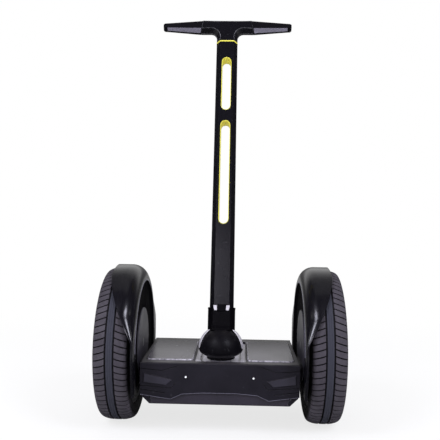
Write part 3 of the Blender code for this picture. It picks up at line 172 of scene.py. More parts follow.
def turned(name, profile, axis, centre, steps, ring=False):
    # profile is (distance along the axis, radius); a ring closes on itself, a solid ends on the axis
    points = [Vector(centre) + Vector(onAxis(axis, along, radius)) for along, radius in profile]
    if ring:
        points.append(points[0])
    dropSelection()
    bpy.ops.mesh.primitive_plane_add(size=0.01, location=points[0])
    piece = justMade(name)
    bpy.ops.object.transform_apply(location=True, rotation=False, scale=False)
    editStart()
    selectAll()
    bpy.ops.mesh.merge(type="CENTER")
    for before, after in zip(points, points[1:]):
        extrudeBy(after - before)
    selectAll()
    bpy.ops.mesh.spin(steps=steps, angle=2 * math.pi, center=centre, axis=Vector(onAxis(axis, 1, 0)))
    selectAll()
    bpy.ops.mesh.remove_doubles(threshold=weldWithin)
    faceOutwards()
    return piece


def wrappedGrid(name, around, across, place, shade=None):
    # A grid whose both ends meet: place(i, j) gives the point of row i and column j.
    # shade(i, j) is kept on the mesh as the depth attribute: a painted shade for the floors of grooves and
    # sipes.
    dropSelection()
    bpy.ops.mesh.primitive_grid_add(x_subdivisions=across, y_subdivisions=around, size=1)
    piece = justMade(name)
    cutShades = []
    for vertex in piece.data.vertices:
        column = round((vertex.co.x + 0.5) * across) % across
        row = round((vertex.co.y + 0.5) * around) % around
        vertex.co = place(row, column)
        if shade:
            cutShades.append(shade(row, column))
    if shade:
        layer = piece.data.attributes.new("depth", "FLOAT", "POINT")
        layer.data.foreach_set("value", cutShades)
    editAll(piece)
    bpy.ops.mesh.remove_doubles(threshold=weldWithin)
    faceOutwards()
    return piece


def cleanCopy(node, name):
    # The node's mesh with its loose triangles merged back into whole faces
    piece = bpy.data.objects.new(name, cadNodes[node].data.copy())
    bpy.context.scene.collection.objects.link(piece)
    takeUp(piece)
    bpy.ops.mesh.customdata_custom_splitnormals_clear()
    editAll(piece)
    bpy.ops.mesh.remove_doubles(threshold=weldWithin)
    selectAll()
    bpy.ops.mesh.dissolve_limited(angle_limit=math.radians(0.6))
    editDone()
    return piece


def paint(piece, material):
    piece.data.materials.clear()
    piece.data.materials.append(material)
    for face in piece.data.polygons:
        face.material_index = 0


def inlay(piece, wanted, material):
    # Another finish for some of a piece's faces
    piece.data.materials.append(material)
    for face in piece.data.polygons:
        if wanted(face):
            face.material_index = len(piece.data.materials) - 1


def handOver(piece, node, material=None):
    # The piece stands for the node, moves with its body and takes its finish
    paint(piece, material or finishOf[slotOf[node]])
    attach(piece, cadNodes[node]["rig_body"])
    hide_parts(node)


def addOn(piece, body, slot, material=None):
    # A piece of the scene's own
    paint(piece, material or finishOf[slot])
    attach(piece, body)


def mirrored(piece, name):
    # The other side's own copy, mirrored across the middle of the board
    takeUp(piece)
    bpy.ops.object.duplicate()
    twin = justMade(name)
    twin.data.transform(Matrix.Scale(-1, 4, (1, 0, 0)))
    twin.data.flip_normals()
    return twin


def handOverBoth(right, leftName, node, material=None):
    # The piece and its twin stand for the right and the left node
    left = mirrored(right, leftName)
    handOver(right, f"right_{node}", material)
    handOver(left, f"left_{node}", material)


def addOnBoth(right, leftName, bodies, slot, material=None):
    left = mirrored(right, leftName)
    for piece, body in zip((right, left), bodies):
        addOn(piece, body, slot, material)


def asPlaced(master, name, places):
    # Copies of one small piece joined into a set; each place is (point, direction of its head)
    copies = []
    for point, heading in places:
        takeUp(master)
        bpy.ops.object.duplicate()
        copy = bpy.context.object
        turn = Vector(heading).to_track_quat("Z", "Y").to_matrix().to_4x4()
        copy.data.transform(Matrix.Translation(point) @ turn)
        copies.append(copy)
    takeUp(copies[0])
    for copy in copies:
        copy.select_set(True)
    bpy.ops.object.join()
    copies[0].name = name
    return copies[0]


# Shared effects, as node groups

def effect(name, vectors, numbers, output, kind="NodeSocketFloat"):
    # A group with vector inputs, number inputs with their usual values, and one output
    group = bpy.data.node_groups.new(name, "ShaderNodeTree")
    for label in vectors:
        group.interface.new_socket(label, in_out="INPUT", socket_type="NodeSocketVector")
    for label, value in numbers.items():
        socket = group.interface.new_socket(label, in_out="INPUT", socket_type="NodeSocketFloat")
        socket.default_value = value
    group.interface.new_socket(output, in_out="OUTPUT", socket_type=kind)
    return group, group.nodes.new("NodeGroupInput").outputs, group.nodes.new("NodeGroupOutput").inputs


def added(tree, kind):
    return tree.nodes.new("ShaderNode" + kind)


def feed(tree, value, socket):
    # A number or colour is set on the socket, another node's output is linked to it
    if isinstance(value, (int, float, tuple)):
        socket.default_value = value
    else:
        tree.links.new(value, socket)


def noise(tree, vector, size, detail=3.0, roughness=0.55):
    node = added(tree, "TexNoise")
    for label, value in (("Vector", vector), ("Scale", size), ("Detail", detail), ("Roughness", roughness)):
        feed(tree, value, node.inputs[label])
    return node.outputs["Fac"]


def between(tree, value, low, high, toLow=0.0, toHigh=1.0, smooth=False):
    node = added(tree, "MapRange")
    if smooth:
        node.interpolation_type = "SMOOTHSTEP"
    for label, number in (("Value", value), ("From Min", low), ("From Max", high), ("To Min", toLow),
                          ("To Max", toHigh)):
        feed(tree, number, node.inputs[label])
    return node.outputs["Result"]


def sums(tree, operation, *values):
    node = added(tree, "Math")
    node.operation = operation
    for socket, value in zip(node.inputs, values):
        feed(tree, value, socket)
    return node.outputs["Value"]


def times(tree, first, *others):
    for other in others:
        first = sums(tree, "MULTIPLY", first, other)
    return first


def mixed(tree, mask, first, second):
    node = added(tree, "Mix")
    node.data_type = "RGBA"
    for socket, value in ((node.inputs[0], mask), (node.inputs[6], first), (node.inputs[7], second)):
        feed(tree, value, socket)
    return node.outputs[2]


def axesOf(tree, vector):
    split = added(tree, "SeparateXYZ")
    tree.links.new(vector, split.inputs["Vector"])
    return split.outputs


def stored(tree, attribute):
    # A value that is kept on the mesh
    node = added(tree, "Attribute")
    node.attribute_name = attribute
    return node.outputs["Fac"]


def makeGrain():
    # Moulded or cast grain: a normal that rises and falls by Depth
    group, given, result = effect("mouldedGrain", ["Vector"], {"Size": 900.0, "Depth": 0.00005},
                                  "Normal", "NodeSocketVector")
    bump = added(group, "Bump")
    feed(group, noise(group, given["Vector"], given["Size"], 3.0, 0.6), bump.inputs["Height"])
    feed(group, given["Depth"], bump.inputs["Distance"])
    feed(group, bump.outputs["Normal"], result[0])
    return group


def makeDrift():
    # Slow change of tone over a surface, from 0 to 1
    group, given, result = effect("toneDrift", ["Vector"], {"Size": 12.0}, "Drift")
    broad = noise(group, given["Vector"], given["Size"], 2.0)
    feed(group, between(group, broad, 0.3, 0.7, smooth=True), result[0])
    return group


def makeDust():
    # Dust that settles on faces that look up
    group, given, result = effect("settledDust", ["Vector", "Facing"], {"Amount": 0.2}, "Dust")
    up = between(group, axesOf(group, given["Facing"])["Z"], 0.2, 0.95, smooth=True)
    patchy = between(group, noise(group, given["Vector"], 60.0, 5.0, 0.65), 0.35, 0.75)
    feed(group, times(group, up, patchy, given["Amount"]), result[0])
    return group


def makeRubAndSheen():
    # Wear along rounded edges, broken up; on the foot pads it is a painted highlight along the rim
    group, given, result = effect("rubbedEdge", ["Vector"], {"Edge": 0.0, "Amount": 0.5}, "Rub")
    broken = between(group, noise(group, given["Vector"], 140.0, 4.0), 0.30, 0.60)
    feed(group, times(group, given["Edge"], broken, given["Amount"]), result[0])
    return group


def makeHairlines():
    # Faint handling scratches in two directions
    group, given, result = effect("hairlines", ["Vector"], {"Amount": 0.3}, "Scratch")
    found = []
    for turn, stretch in (((0.3, 0.5, 0.9), (900, 40, 60)), ((0.9, -0.4, -0.5), (50, 700, 45))):
        lay = added(group, "Mapping")
        for label, value in (("Vector", given["Vector"]), ("Rotation", turn), ("Scale", stretch)):
            feed(group, value, lay.inputs[label])
        found.append(between(group, noise(group, lay.outputs["Vector"], 1.0, 2.0), 0.70, 0.76))
    scratches = times(group, sums(group, "MAXIMUM", *found), given["Amount"])
    feed(group, scratches, result[0])
    return group


effects = {"grain": makeGrain(), "drift": makeDrift(), "dust": makeDust(), "rub": makeRubAndSheen(),
           "hairlines": makeHairlines()}
print("effects:", ", ".join(effects))


# Materials. Colours are written as seen on screen, 0 to 255.

def tone(red, green, blue):
    return tuple((c / 255 / 12.92) if c <= 10 else ((c / 255 + 0.055) / 1.055) ** 2.4
                 for c in (red, green, blue)) + (1.0,)


def placed(tree, name, output, **inputs):
    node = added(tree, "Group")
    node.node_tree = effects[name]
    for label, value in inputs.items():
        feed(tree, value, node.inputs[label])
    return node.outputs[output]


wearLook = {"scratchRough": 0.25, "scratchLight": 0.35, "dust": (168, 160, 150), "dustRough": 0.5,
            "coatRough": 0.08}


def surface(name, colour, second=None, rough=(0.4, 0.5), metal=0.0, gloss=0.5, drift=14.0, grain=None,
            dust=0.0, rub=0.0, rubAndSheenColour=(150, 150, 155), scratch=0.0, coat=0.0, glow=0.0, tint=None):
    # tint(tree, coords, colour) may add a pattern of the surface's own
    material = bpy.data.materials.new(name)
    material.use_nodes = True
    tree = material.node_tree
    shader = tree.nodes["Principled BSDF"].inputs
    shader["Metallic"].default_value = metal
    shader["Specular IOR Level"].default_value = gloss
    if coat:
        shader["Coat Weight"].default_value = coat
        shader["Coat Roughness"].default_value = wearLook["coatRough"]
    if glow:
        shader["Emission Color"].default_value = (1.0, 1.0, 1.0, 1.0)
        shader["Emission Strength"].default_value = glow
    coords = added(tree, "TexCoord")
    place = coords.outputs["Object"]
    slow = placed(tree, "drift", "Drift", Vector=place, Size=drift)
    colourNow = mixed(tree, slow, tone(*colour), tone(*(second or colour)))
    roughNow = between(tree, slow, 0.0, 1.0, rough[0], rough[1])
    if tint:
        colourNow = tint(tree, coords, colourNow)
    if scratch:
        lines = placed(tree, "hairlines", "Scratch", Vector=place, Amount=scratch)
        roughNow = sums(tree, "ADD", roughNow, times(tree, lines, wearLook["scratchRough"]))
        colourNow = mixed(tree, times(tree, lines, wearLook["scratchLight"]), colourNow, tone(*rubAndSheenColour))
    if rub:
        wornAndLit = placed(tree, "rub", "Rub", Vector=place, Edge=stored(tree, "edgeWear"), Amount=rub)
        colourNow = mixed(tree, wornAndLit, colourNow, tone(*rubAndSheenColour))
    if dust:
        film = placed(tree, "dust", "Dust", Vector=place, Facing=coords.outputs["Normal"], Amount=dust)
        colourNow = mixed(tree, film, colourNow, tone(*wearLook["dust"]))
        roughNow = sums(tree, "ADD", roughNow, times(tree, film, wearLook["dustRough"]))
    if grain:
        relief = placed(tree, "grain", "Normal", Vector=place, Size=grain[0], Depth=grain[1])
        feed(tree, relief, shader["Normal"])
    feed(tree, colourNow, shader["Base Color"])
    feed(tree, roughNow, shader["Roughness"])
    return material


treadLook = {"rib": (0.0088, 0.0080), "ribColour": (51, 52, 62), "wall": (0.1925, 0.1860),
             "wallColour": (30, 28, 31), "cutColour": (16, 14, 17)}


def treadTint(tree, coords, colour):
    # The middle rib is bluer, the side walls are darker, and the grooves and sipe floors take a painted shade
    x, y, z = axesOf(tree, coords.outputs["Object"])
    fromMiddle = sums(tree, "SUBTRACT", sums(tree, "ABSOLUTE", x), wheelAxle["middle"])
    rib = between(tree, sums(tree, "ABSOLUTE", fromMiddle), *treadLook["rib"])
    above = sums(tree, "SUBTRACT", z, wheelAxle["height"])
    squares = sums(tree, "ADD", sums(tree, "POWER", y, 2.0), sums(tree, "POWER", above, 2.0))
    radius = sums(tree, "SQRT", squares)
    wall = between(tree, radius, *treadLook["wall"])
    colour = mixed(tree, rib, colour, tone(*treadLook["ribColour"]))
    colour = mixed(tree, wall, colour, tone(*treadLook["wallColour"]))
    return mixed(tree, stored(tree, "depth"), colour, tone(*treadLook["cutColour"]))


# The finish of each material slot, and then the finishes of single pieces and faces

finishOf = {
    "cast_alloy": surface("castAlloy", (170, 169, 174), (156, 155, 160), (0.45, 0.60), metal=0.45,
        grain=(1300, 0.00010), rub=0.3),
    "rim_alloy": surface("rimAlloy", (66, 66, 70), (58, 58, 62), (0.34, 0.42), metal=0.6,
        grain=(2600, 0.00003), rub=0.4, rubAndSheenColour=(190, 190, 195), dust=0.12),
    "deck_grey": surface("deckGrey", (40, 38, 45), (34, 32, 39), (0.34, 0.42), gloss=0.36,
        grain=(2400, 0.00005), dust=0.12, rub=0.3, scratch=0.35),
    "satin_black": surface("satinBlack", (31, 29, 37), (26, 24, 32), (0.40, 0.48), gloss=0.25,
        grain=(2200, 0.00004), dust=0.06, rub=0.25, scratch=0.2),
    "belly_grey": surface("bellyGrey", (50, 46, 56), (44, 41, 50), (0.36, 0.44), gloss=0.4,
        grain=(1800, 0.00005), dust=0.1, scratch=0.3),
    "silver_trim": surface("silverTrim", (168, 165, 173), (157, 154, 162), (0.30, 0.38), metal=0.15,
        grain=(2600, 0.00002), scratch=0.2),
    "gloss_black": surface("glossBlack", (14, 13, 19), (11, 10, 16), (0.19, 0.24), gloss=0.58, drift=9,
        dust=0.01, scratch=0.1, grain=(90, 0.000006)),
    "plate_grey": surface("plateGrey", (60, 58, 67), (52, 50, 59), (0.34, 0.42), metal=0.1,
        grain=(3000, 0.00003), scratch=0.2),
    "steel": surface("turnedSteel", (186, 186, 190), (172, 172, 178), (0.24, 0.36), metal=1.0,
        grain=(2400, 0.00002), scratch=0.5),
    "windings": surface("windings", (180, 110, 62), (150, 88, 48), (0.35, 0.50), metal=0.7,
        grain=(1500, 0.0002)),
    "battery_wrap": surface("batteryWrap", (52, 74, 110), (46, 66, 100), (0.30, 0.42), grain=(400, 0.0002)),
    "circuit_board": surface("circuitBoard", (30, 92, 56), (24, 78, 46), (0.35, 0.45), grain=(1400, 0.0001)),
    "bronze": surface("bearingBronze", (176, 140, 84), (158, 124, 72), (0.38, 0.50), metal=0.9,
        grain=(1800, 0.00004)),
    "buffer_rubber": surface("bufferRubber", (38, 37, 39), (32, 31, 33), (0.65, 0.75), gloss=0.3,
        grain=(2000, 0.00008)),
    "lamp_lens": surface("lampLens", (236, 240, 246), (222, 228, 238), (0.08, 0.14), gloss=0.6, coat=0.6,
        grain=(900, 0.00003), glow=0.6),
    "red_lens": surface("redLens", (178, 22, 24), (150, 14, 18), (0.10, 0.16), gloss=0.6, coat=0.5,
        grain=(700, 0.00006)),
    "tyre_rubber": surface("treadRubber", (70, 66, 73), (61, 57, 64), (0.62, 0.75), gloss=0.30, drift=30,
        grain=(2600, 0.00012), tint=treadTint),
    "motor_black": surface("motorBlack", (40, 40, 44), (34, 34, 38), (0.36, 0.46), metal=0.4,
        grain=(2600, 0.00003), dust=0.08, rub=0.3),
    "post_black": surface("postBlack", (16, 15, 20), (13, 12, 16), (0.22, 0.28), gloss=0.30, drift=6,
        grain=(3200, 0.00001), rub=0.2, scratch=0.15),
    "yellow_liner": surface("yellowLiner", (232, 226, 92), (224, 216, 80), (0.35, 0.45), gloss=0.4,
        grain=(2600, 0.00003)),
    "grip_rubber": surface("gripRubber", (12, 11, 15), (10, 9, 13), (0.46, 0.56), gloss=0.06,
        grain=(2400, 0.00010), dust=0.03),
    # the pads' edge colour is near white: a painted highlight along the rolled rim, laid through the edge
    # mask
    "pad_rubber": surface("padRubber", (64, 61, 70), (61, 58, 67), (0.23, 0.26), gloss=0.62, drift=20,
        grain=(3000, 0.00003), dust=0.04, scratch=0.06, rub=0.85, rubAndSheenColour=(196, 193, 202)),
}
ballBlack = surface("ballBlack", (16, 15, 19), (12, 11, 15), (0.34, 0.42), gloss=0.08, drift=20, dust=0.02,
    scratch=0.3, grain=(2400, 0.00003))
# the ball crescents' own bright silver, and on the latch plates a painted highlight
brightTrim = surface("brightTrim", (206, 203, 209), (196, 193, 200), (0.34, 0.42), drift=30,
    grain=(2600, 0.00002), scratch=0.2)
# a near-white painted highlight on the console floor beside the ball
consoleFloor = surface("consoleFloor", (204, 201, 208), (192, 189, 197), (0.40, 0.50), gloss=0.4, drift=30,
    grain=(2400, 0.00004), dust=0.1, scratch=0.3)
# a light grey painted highlight along the fender's arch edge and the fascia's lower lip
archBead = surface("archBead", (112, 110, 124), (98, 96, 110), (0.24, 0.32), gloss=0.6, drift=20,
    grain=(2400, 0.00002), scratch=0.2)
sleeveBlack = surface("sleeveBlack", (9, 8, 11), (7, 6, 9), (0.36, 0.44), gloss=0.06, drift=30,
    grain=(2400, 0.00004), scratch=0.2)
# near-black painted shade for the floors of the fascia's grooves
grooveShadePaint = surface("grooveBlack", (10, 9, 13), (8, 7, 10), (0.55, 0.65), gloss=0.2, grain=(2200, 0.00004))
# near-black painted shade for the fender's recess and inner wall
recessShadePaint = surface("recessBlack", (9, 8, 11), (7, 6, 9), (0.85, 0.95), gloss=0.05, grain=(2200, 0.00004))
panelPaint = surface("raisedPanel", (50, 48, 58), (44, 42, 51), (0.36, 0.44), gloss=0.35,
    grain=(2200, 0.00004), scratch=0.2)
# a lighter grey painted reflection of the floor on the grips' lower front facets
gripInlay = surface("gripInlay", (116, 113, 126), (106, 103, 115), (0.45, 0.55), gloss=0.4,
    grain=(2600, 0.00010), dust=0.05)
for nodeName, cadNode in cadNodes.items():
    for materialSlot in cadNode.material_slots:
        # the tub is a casting, but it takes the satin black finish; it shows under the fascia
        materialSlot.material = finishOf["satin_black" if nodeName == "chassis_tub" else slotOf[nodeName]]
print("materials:", len(finishOf))


# Wheels. Each piece is made for the right wheel and mirrored for the left.

def onWheel(x, radius, angle):
    # The angle runs from the top of the wheel towards the front
    return (x, -radius * math.sin(angle), wheelAxle["height"] + radius * math.cos(angle))


tyreForm = {
    "radius": 0.2020, "pitches": 76, "sipeWidth": 0.0034, "sipeDepth": 0.0028, "skew": 0.0098,
    "skewFrom": 0.0110, "skewTo": 0.0418, "skewBend": 0.75, "plainFrom": 0.0185, "cutWall": 0.0002,
    "groove": (0.0085, 0.0114, 0.003),  # from, to, deeper than
    # half of the section: distance from the middle plane, drop below the crown, share of the sipe's depth
    "tread": [(0.0, 0.0, 0), (0.0020, 0.0, 0), (0.0025, 0.0005, 0), (0.0030, 0.0, 0), (0.0070, 0.0001, 0),
              (0.0078, 0.0008, 0), (0.0087, 0.0043, 0), (0.0112, 0.0043, 0), (0.0121, 0.0007, 1),
              (0.0130, 0.0002, 1), (0.0190, 0.0007, 1), (0.0250, 0.0018, 1), (0.0310, 0.0034, 1),
              (0.0355, 0.0053, 1), (0.0385, 0.0072, 1), (0.0405, 0.0094, 0.9), (0.0418, 0.0122, 0.6),
              (0.0426, 0.0150, 0.2), (0.0430, 0.0182, 0)],
    "wall": [(0.0425, 0.0195), (0.0425, 0.0215), (0.0433, 0.0225), (0.0439, 0.0265), (0.0440, 0.0305),
             (0.0434, 0.0340), (0.0423, 0.0350), (0.0418, 0.0372), (0.0412, 0.0384), (0.0402, 0.0398),
             (0.0370, 0.0410), (0.0335, 0.0414), (0.0335, 0.0517), (0.0240, 0.0517)],
    "inside": [(0.0275, 0.0440), (0.0315, 0.0330), (0.0310, 0.0220), (0.0230, 0.0155), (0.0, 0.0130)],
}


def makeTyre():
    f = tyreForm
    half = f["tread"] + [(x, drop, 0) for x, drop in f["wall"] + f["inside"]]
    section = half + [(-x, drop, share) for x, drop, share in reversed(half[1:-1])]
    pitch = 2 * math.pi / f["pitches"]
    cut = f["sipeWidth"] / f["radius"]
    wall = f["cutWall"] / f["radius"]
    rows = [(0.0, 0), ((pitch - cut) / 2, 0), (pitch - cut, 0), (pitch - cut + wall, 1), (pitch - wall, 1)]

    def place(row, column):
        x, drop, share = section[column]
        turn, depth = rows[row % len(rows)]
        reach = (abs(x) - f["skewFrom"]) / (f["skewTo"] - f["skewFrom"])
        lag = f["skew"] / f["radius"] * min(1.0, max(0.0, reach)) ** f["skewBend"]
        if drop > f["plainFrom"]:
            lag = 0.0
        angle = (row // len(rows)) * pitch + turn + lag
        radius = f["radius"] - drop - depth * share * f["sipeDepth"]
        return onWheel(wheelAxle["middle"] + x, radius, angle)

    # painted shade in the grooves and on the sipe floors, kept as the depth attribute
    def cutShadeOf(row, column):
        x, drop, share = section[column]
        near, far, low = f["groove"]
        groove = 1.0 if near < abs(x) < far and drop > low else 0.0
        return max(groove, rows[row % len(rows)][1] * share)

    tyre = wrappedGrid("rightTyreTread", f["pitches"] * len(rows), len(section), place, cutShadeOf)
    smoothOver(tyre, 32, weighted=False)
    return tyre


rimForm = {
    "flange": 0.1588, "seat": 0.0338, "lip": 0.0370, "well": 0.1425, "hub": 0.0883,
    "pockets": 5, "pocketDepth": 0.0026, "pocketWall": 0.0028, "pocketRing": (0.1003, 0.1355),
    "pocketShare": (0.14, 0.86), "steps": 180,
}


def makeRim():
    f = rimForm
    inner, outer = f["pocketRing"]
    lip, flange, seat, hub = f["lip"], f["flange"], f["seat"], f["hub"]
    profile = [
        (lip - 0.0012, flange), (lip, flange - 0.0012), (lip, 0.1500), (lip - 0.002, 0.1472),
        (0.0300, 0.1452), (0.0220, 0.1440), (0.0186, 0.1418), (0.0183, outer), (0.0190, 0.1240),
        (0.0198, 0.1120), (0.0206, inner), (0.0209, 0.0960), (0.0212, hub), (0.0160, hub),
        (0.0130, f["well"]), (-0.0300, 0.1450), (-lip, 0.1470), (-lip, flange - 0.0012),
        (-lip + 0.0012, flange), (-seat, flange), (-seat, 0.1502), (-0.0220, 0.1500), (-0.0190, 0.1470),
        (0.0100, 0.1470), (0.0140, 0.1500), (seat, 0.1502), (seat, flange),
    ]
    rim = turned("rightRimDisc", profile, "X", wheelCentre, f["steps"], ring=True)
    period = 2 * math.pi / f["pockets"]

    def inPocket(face):
        spot = face.center - Vector(wheelCentre)
        radius = math.hypot(spot.y, spot.z)
        share = (math.atan2(spot.y, spot.z) % period) / period
        start, stop = f["pocketShare"]
        return face.normal.x > 0.9 and inner < radius < outer and start < share < stop

    editSome(rim, inPocket)
    bpy.ops.mesh.inset(thickness=f["pocketWall"], depth=-f["pocketDepth"])
    editDone()
    roundEdges(rim, 0.0005, 32, 32)
    return rim


valveForm = {"x": 0.0205, "radius": 0.1424, "lean": 118,
             "profile": [(0.0, 0.0), (0.0, 0.0052), (0.004, 0.0046), (0.010, 0.0034), (0.0105, 0.0028),
                         (0.018, 0.0028), (0.0183, 0.0036), (0.026, 0.0036), (0.0268, 0.0028), (0.0268, 0.0)]}


def makeValve():
    valve = turned("rightValveStem", valveForm["profile"], "Z", (0, 0, 0), 20)
    foot = (wheelAxle["middle"] + valveForm["x"], 0, wheelAxle["height"] + valveForm["radius"])
    valve.data.transform(Matrix.Translation(foot) @ Matrix.Rotation(math.radians(valveForm["lean"]), 4, "Y"))
    smoothOver(valve, 35, weighted=False)
    return valve


hubForm = {"capRadius": 0.055, "face": 0.0258, "height": 0.008, "sink": 0.0012, "screws": 6,
           "screwCircle": 0.032, "shellScrews": 9, "shellCircle": 0.072, "shellSink": 0.0003}


def makeHubCap():
    f = hubForm
    x, edge, top = f["face"], f["capRadius"], f["face"] + f["height"]
    profile = [(x, 0), (x, edge), (x + 0.0034, edge), (x + 0.0042, edge - 0.0008), (top - 0.0006, 0.0470),
               (top, 0.0458), (top, 0.0395), (top - f["sink"], 0.0385), (top - f["sink"], 0.0245),
               (top, 0.0235), (top, 0.0)]
    cap = turned("rightHubCover", profile, "X", wheelCentre, 96)
    roundEdges(cap, 0.0003, 30, 30)
    return cap


shellForm = {"half": 0.0255, "radius": 0.088, "inner": 0.0835, "bore": 0.0175, "wallFrom": 0.017,
             "groove": 0.0009, "edge": 0.0015}


def makeMotorShell():
    f = shellForm
    half, low, radius = f["half"], f["half"] - f["groove"], f["radius"]
    profile = [(half, f["bore"]), (half, 0.0600), (low, 0.0610), (low, 0.0660), (half, 0.0670),
               (half, radius - f["edge"]), (half - f["edge"], radius), (-half, radius), (-half, f["inner"]),
               (f["wallFrom"], f["inner"]), (f["wallFrom"], f["bore"])]
    shell = turned("rightMotorCase", profile, "X", wheelCentre, 128, ring=True)
    smoothOver(shell, 30)
    return shell


screwForm = {"radius": 0.0030, "height": 0.0020, "socket": 0.0013, "depth": 0.0013, "sides": 20}


def makeScrew():
    # One button head with a hexagon socket, standing on the origin along +Z
    r, h = screwForm["radius"], screwForm["height"]
    profile = [(-0.0012, 0), (-0.0012, r * 0.92), (0.0003, r), (h * 0.55, r * 0.90), (h * 0.86, r * 0.70),
               (h, r * 0.50), (h, 0)]
    screw = turned("screwMaster", profile, "Z", (0, 0, 0), screwForm["sides"])
    dropSelection()
    bpy.ops.mesh.primitive_cylinder_add(vertices=6, radius=screwForm["socket"], depth=2 * screwForm["depth"],
                                        location=(0, 0, h))
    socket = bpy.context.object
    useModifier(screw, "BOOLEAN", object=socket, operation="DIFFERENCE", solver="EXACT")
    bpy.data.objects.remove(socket, do_unlink=True)
    smoothOver(screw, 35, weighted=False)
    return screw


def circleOf(count, radius, x, start=0.0):
    # Places round the axle, facing outwards
    turns = [2 * math.pi * (index + start) / count for index in range(count)]
    return [(onWheel(x, radius, -turn), (1, 0, 0)) for turn in turns]


screwMaster = makeScrew()
tyre, rim, valve, cap, shell = makeTyre(), makeRim(), makeValve(), makeHubCap(), makeMotorShell()
outFace = wheelAxle["middle"] + hubForm["face"]
capScrews = asPlaced(screwMaster, "rightHubScrews", circleOf(
    hubForm["screws"], hubForm["screwCircle"], outFace + hubForm["height"] - hubForm["sink"], 0.5))
shellScrews = asPlaced(screwMaster, "rightMotorScrews", circleOf(
    hubForm["shellScrews"], hubForm["shellCircle"], outFace - hubForm["shellSink"]))
for right, leftName, node in ((tyre, "leftTyreTread", "tyre"), (rim, "leftRimDisc", "rim"),
                              (cap, "leftHubCover", "hub_cap"), (shell, "leftMotorCase", "motor_shell")):
    handOverBoth(right, leftName, node)
for right, leftName, slot in ((valve, "leftValveStem", "buffer_rubber"),
                              (capScrews, "leftHubScrews", "steel"),
                              (shellScrews, "leftMotorScrews", "steel")):
    addOnBoth(right, leftName, ("right_wheel", "left_wheel"), slot)
print("wheels made")


# Fenders and axle plates

fenderForm = {
    "radius": 0.2106, "thick": 0.003, "inner": 0.2073, "outer": 0.284, "shoulderWidth": 0.039,
    "shoulderHeight": 0.0395, "sweepStart": 20, "sweepEnd": 82, "sweepPower": 1.7, "edge": 0.006,
    "archRadius": 0.169, "archBand": 0.009, "recess": 0.2155, "plate": 0.0943, "rings": (0.118, 0.140),
    "bottom": 0.1050, "steps": 180, "bead": (-0.0012, 0.0016), "beadAbove": 0.008, "recessWithin": -0.0014,
    # the section round the arch: distance from the inner side, distance from the arch's radius
    "arch": [(0.0034, -0.0030), (0.0016, -0.0022), (0.0004, -0.0012), (0.0, 0.0), (0.0002, 0.0012),
             (0.0009, 0.0020), (0.0008, 0.0028)],
}


def arcPoints(centre, wide, high, start, end, steps):
    points = []
    for index in range(steps + 1):
        angle = math.radians(start + (end - start) * index / steps)
        points.append((centre[0] + wide * math.cos(angle), centre[1] + high * math.sin(angle)))
    return points


def fenderSection(angle):
    # The lip over the tyre is widest at the top and sweeps in towards the front and rear
    f = fenderForm
    start, end = math.radians(f["sweepStart"]), math.radians(f["sweepEnd"])
    swept = min(1.0, max(0.0, (abs(angle) - start) / (end - start)))
    width = max(f["edge"], (f["outer"] - f["inner"]) * (1 - swept ** f["sweepPower"]))
    corner = min(f["shoulderWidth"], width - 0.001)
    height = f["shoulderHeight"] * corner / f["shoulderWidth"]
    centre = (f["inner"] + corner, f["radius"] - height)
    bottom = f["archRadius"] - f["archBand"]
    section = [(f["recess"], radius) for radius in (f["plate"], *f["rings"], bottom - 0.002)]
    section += [(f["recess"] - 0.0006, bottom + 0.0008)]
    section += [(f["inner"] + x, f["archRadius"] + away) for x, away in f["arch"]]
    section += arcPoints(centre, corner, height, 176, 90, 14)
    lip = f["inner"] + width
    section += [(lip - 0.0008, f["radius"]), (lip, f["radius"] - 0.0008), (lip, f["radius"] - f["thick"])]
    section += arcPoints(centre, corner - f["thick"], height - f["thick"], 90, 180, 10)
    section += [(f["recess"] + f["thick"], bottom + 0.004), (f["recess"] + f["thick"], f["plate"])]
    return section


def makeFender():
    f = fenderForm
    angles = [math.pi * (2 * row / f["steps"] - 1) for row in range(f["steps"])]
    sections = [fenderSection(angle) for angle in angles]

    def place(row, column):
        x, radius = sections[row][column]
        return onWheel(x, radius, angles[row])

    fender = wrappedGrid("rightFenderShell", f["steps"], len(sections[0]), place)
    editAll(fender)
    cutBy((0, 0, f["bottom"]), (0, 0, 1), clear_inner=True, use_fill=True)
    editDone()
    roundEdges(fender, 0.0006, 50, 40)
    return fender


plateForm = [(0.2126, 0.0123), (0.2126, 0.0905), (0.2130, 0.0925), (0.2140, 0.0935), (0.2188, 0.0940),
             (0.2188, 0.1010), (0.2225, 0.1010), (0.2225, 0.0123)]


def makeAxlePlate():
    plate = turned("rightAxleDisc", plateForm, "X", (0, 0, wheelAxle["height"]), 128, ring=True)
    smoothOver(plate, 30)
    return plate


def fromArch(face):
    return math.hypot(face.center.y, face.center.z - wheelAxle["height"]) - fenderForm["archRadius"]


# the faces along the arch edge that take the painted highlight
def onArchEdge(face):
    f = fenderForm
    low, high = f["bead"]
    above = face.center.z > wheelAxle["height"] + f["beadAbove"]
    return above and low < fromArch(face) < high and abs(face.center.x) < f["inner"] + 0.0012


# the faces of the fender's recess that take the painted shade
def inRecess(face):
    f = fenderForm
    deep = f["inner"] + 0.0004 < abs(face.center.x) < f["recess"] + 0.0012
    return deep and fromArch(face) < f["recessWithin"]


handOverBoth(makeFender(), "leftFenderShell", "fender")
handOverBoth(makeAxlePlate(), "leftAxleDisc", "axle_plate")
for fenderName in ("rightFenderShell", "leftFenderShell"):
    inlay(bpy.data.objects[fenderName], onArchEdge, archBead)
    inlay(bpy.data.objects[fenderName], inRecess, recessShadePaint)
print("fenders made")


# Ball cover under the post

postPivot = {"y": -0.065, "z": 0.2005, "lean": math.radians(15.5)}


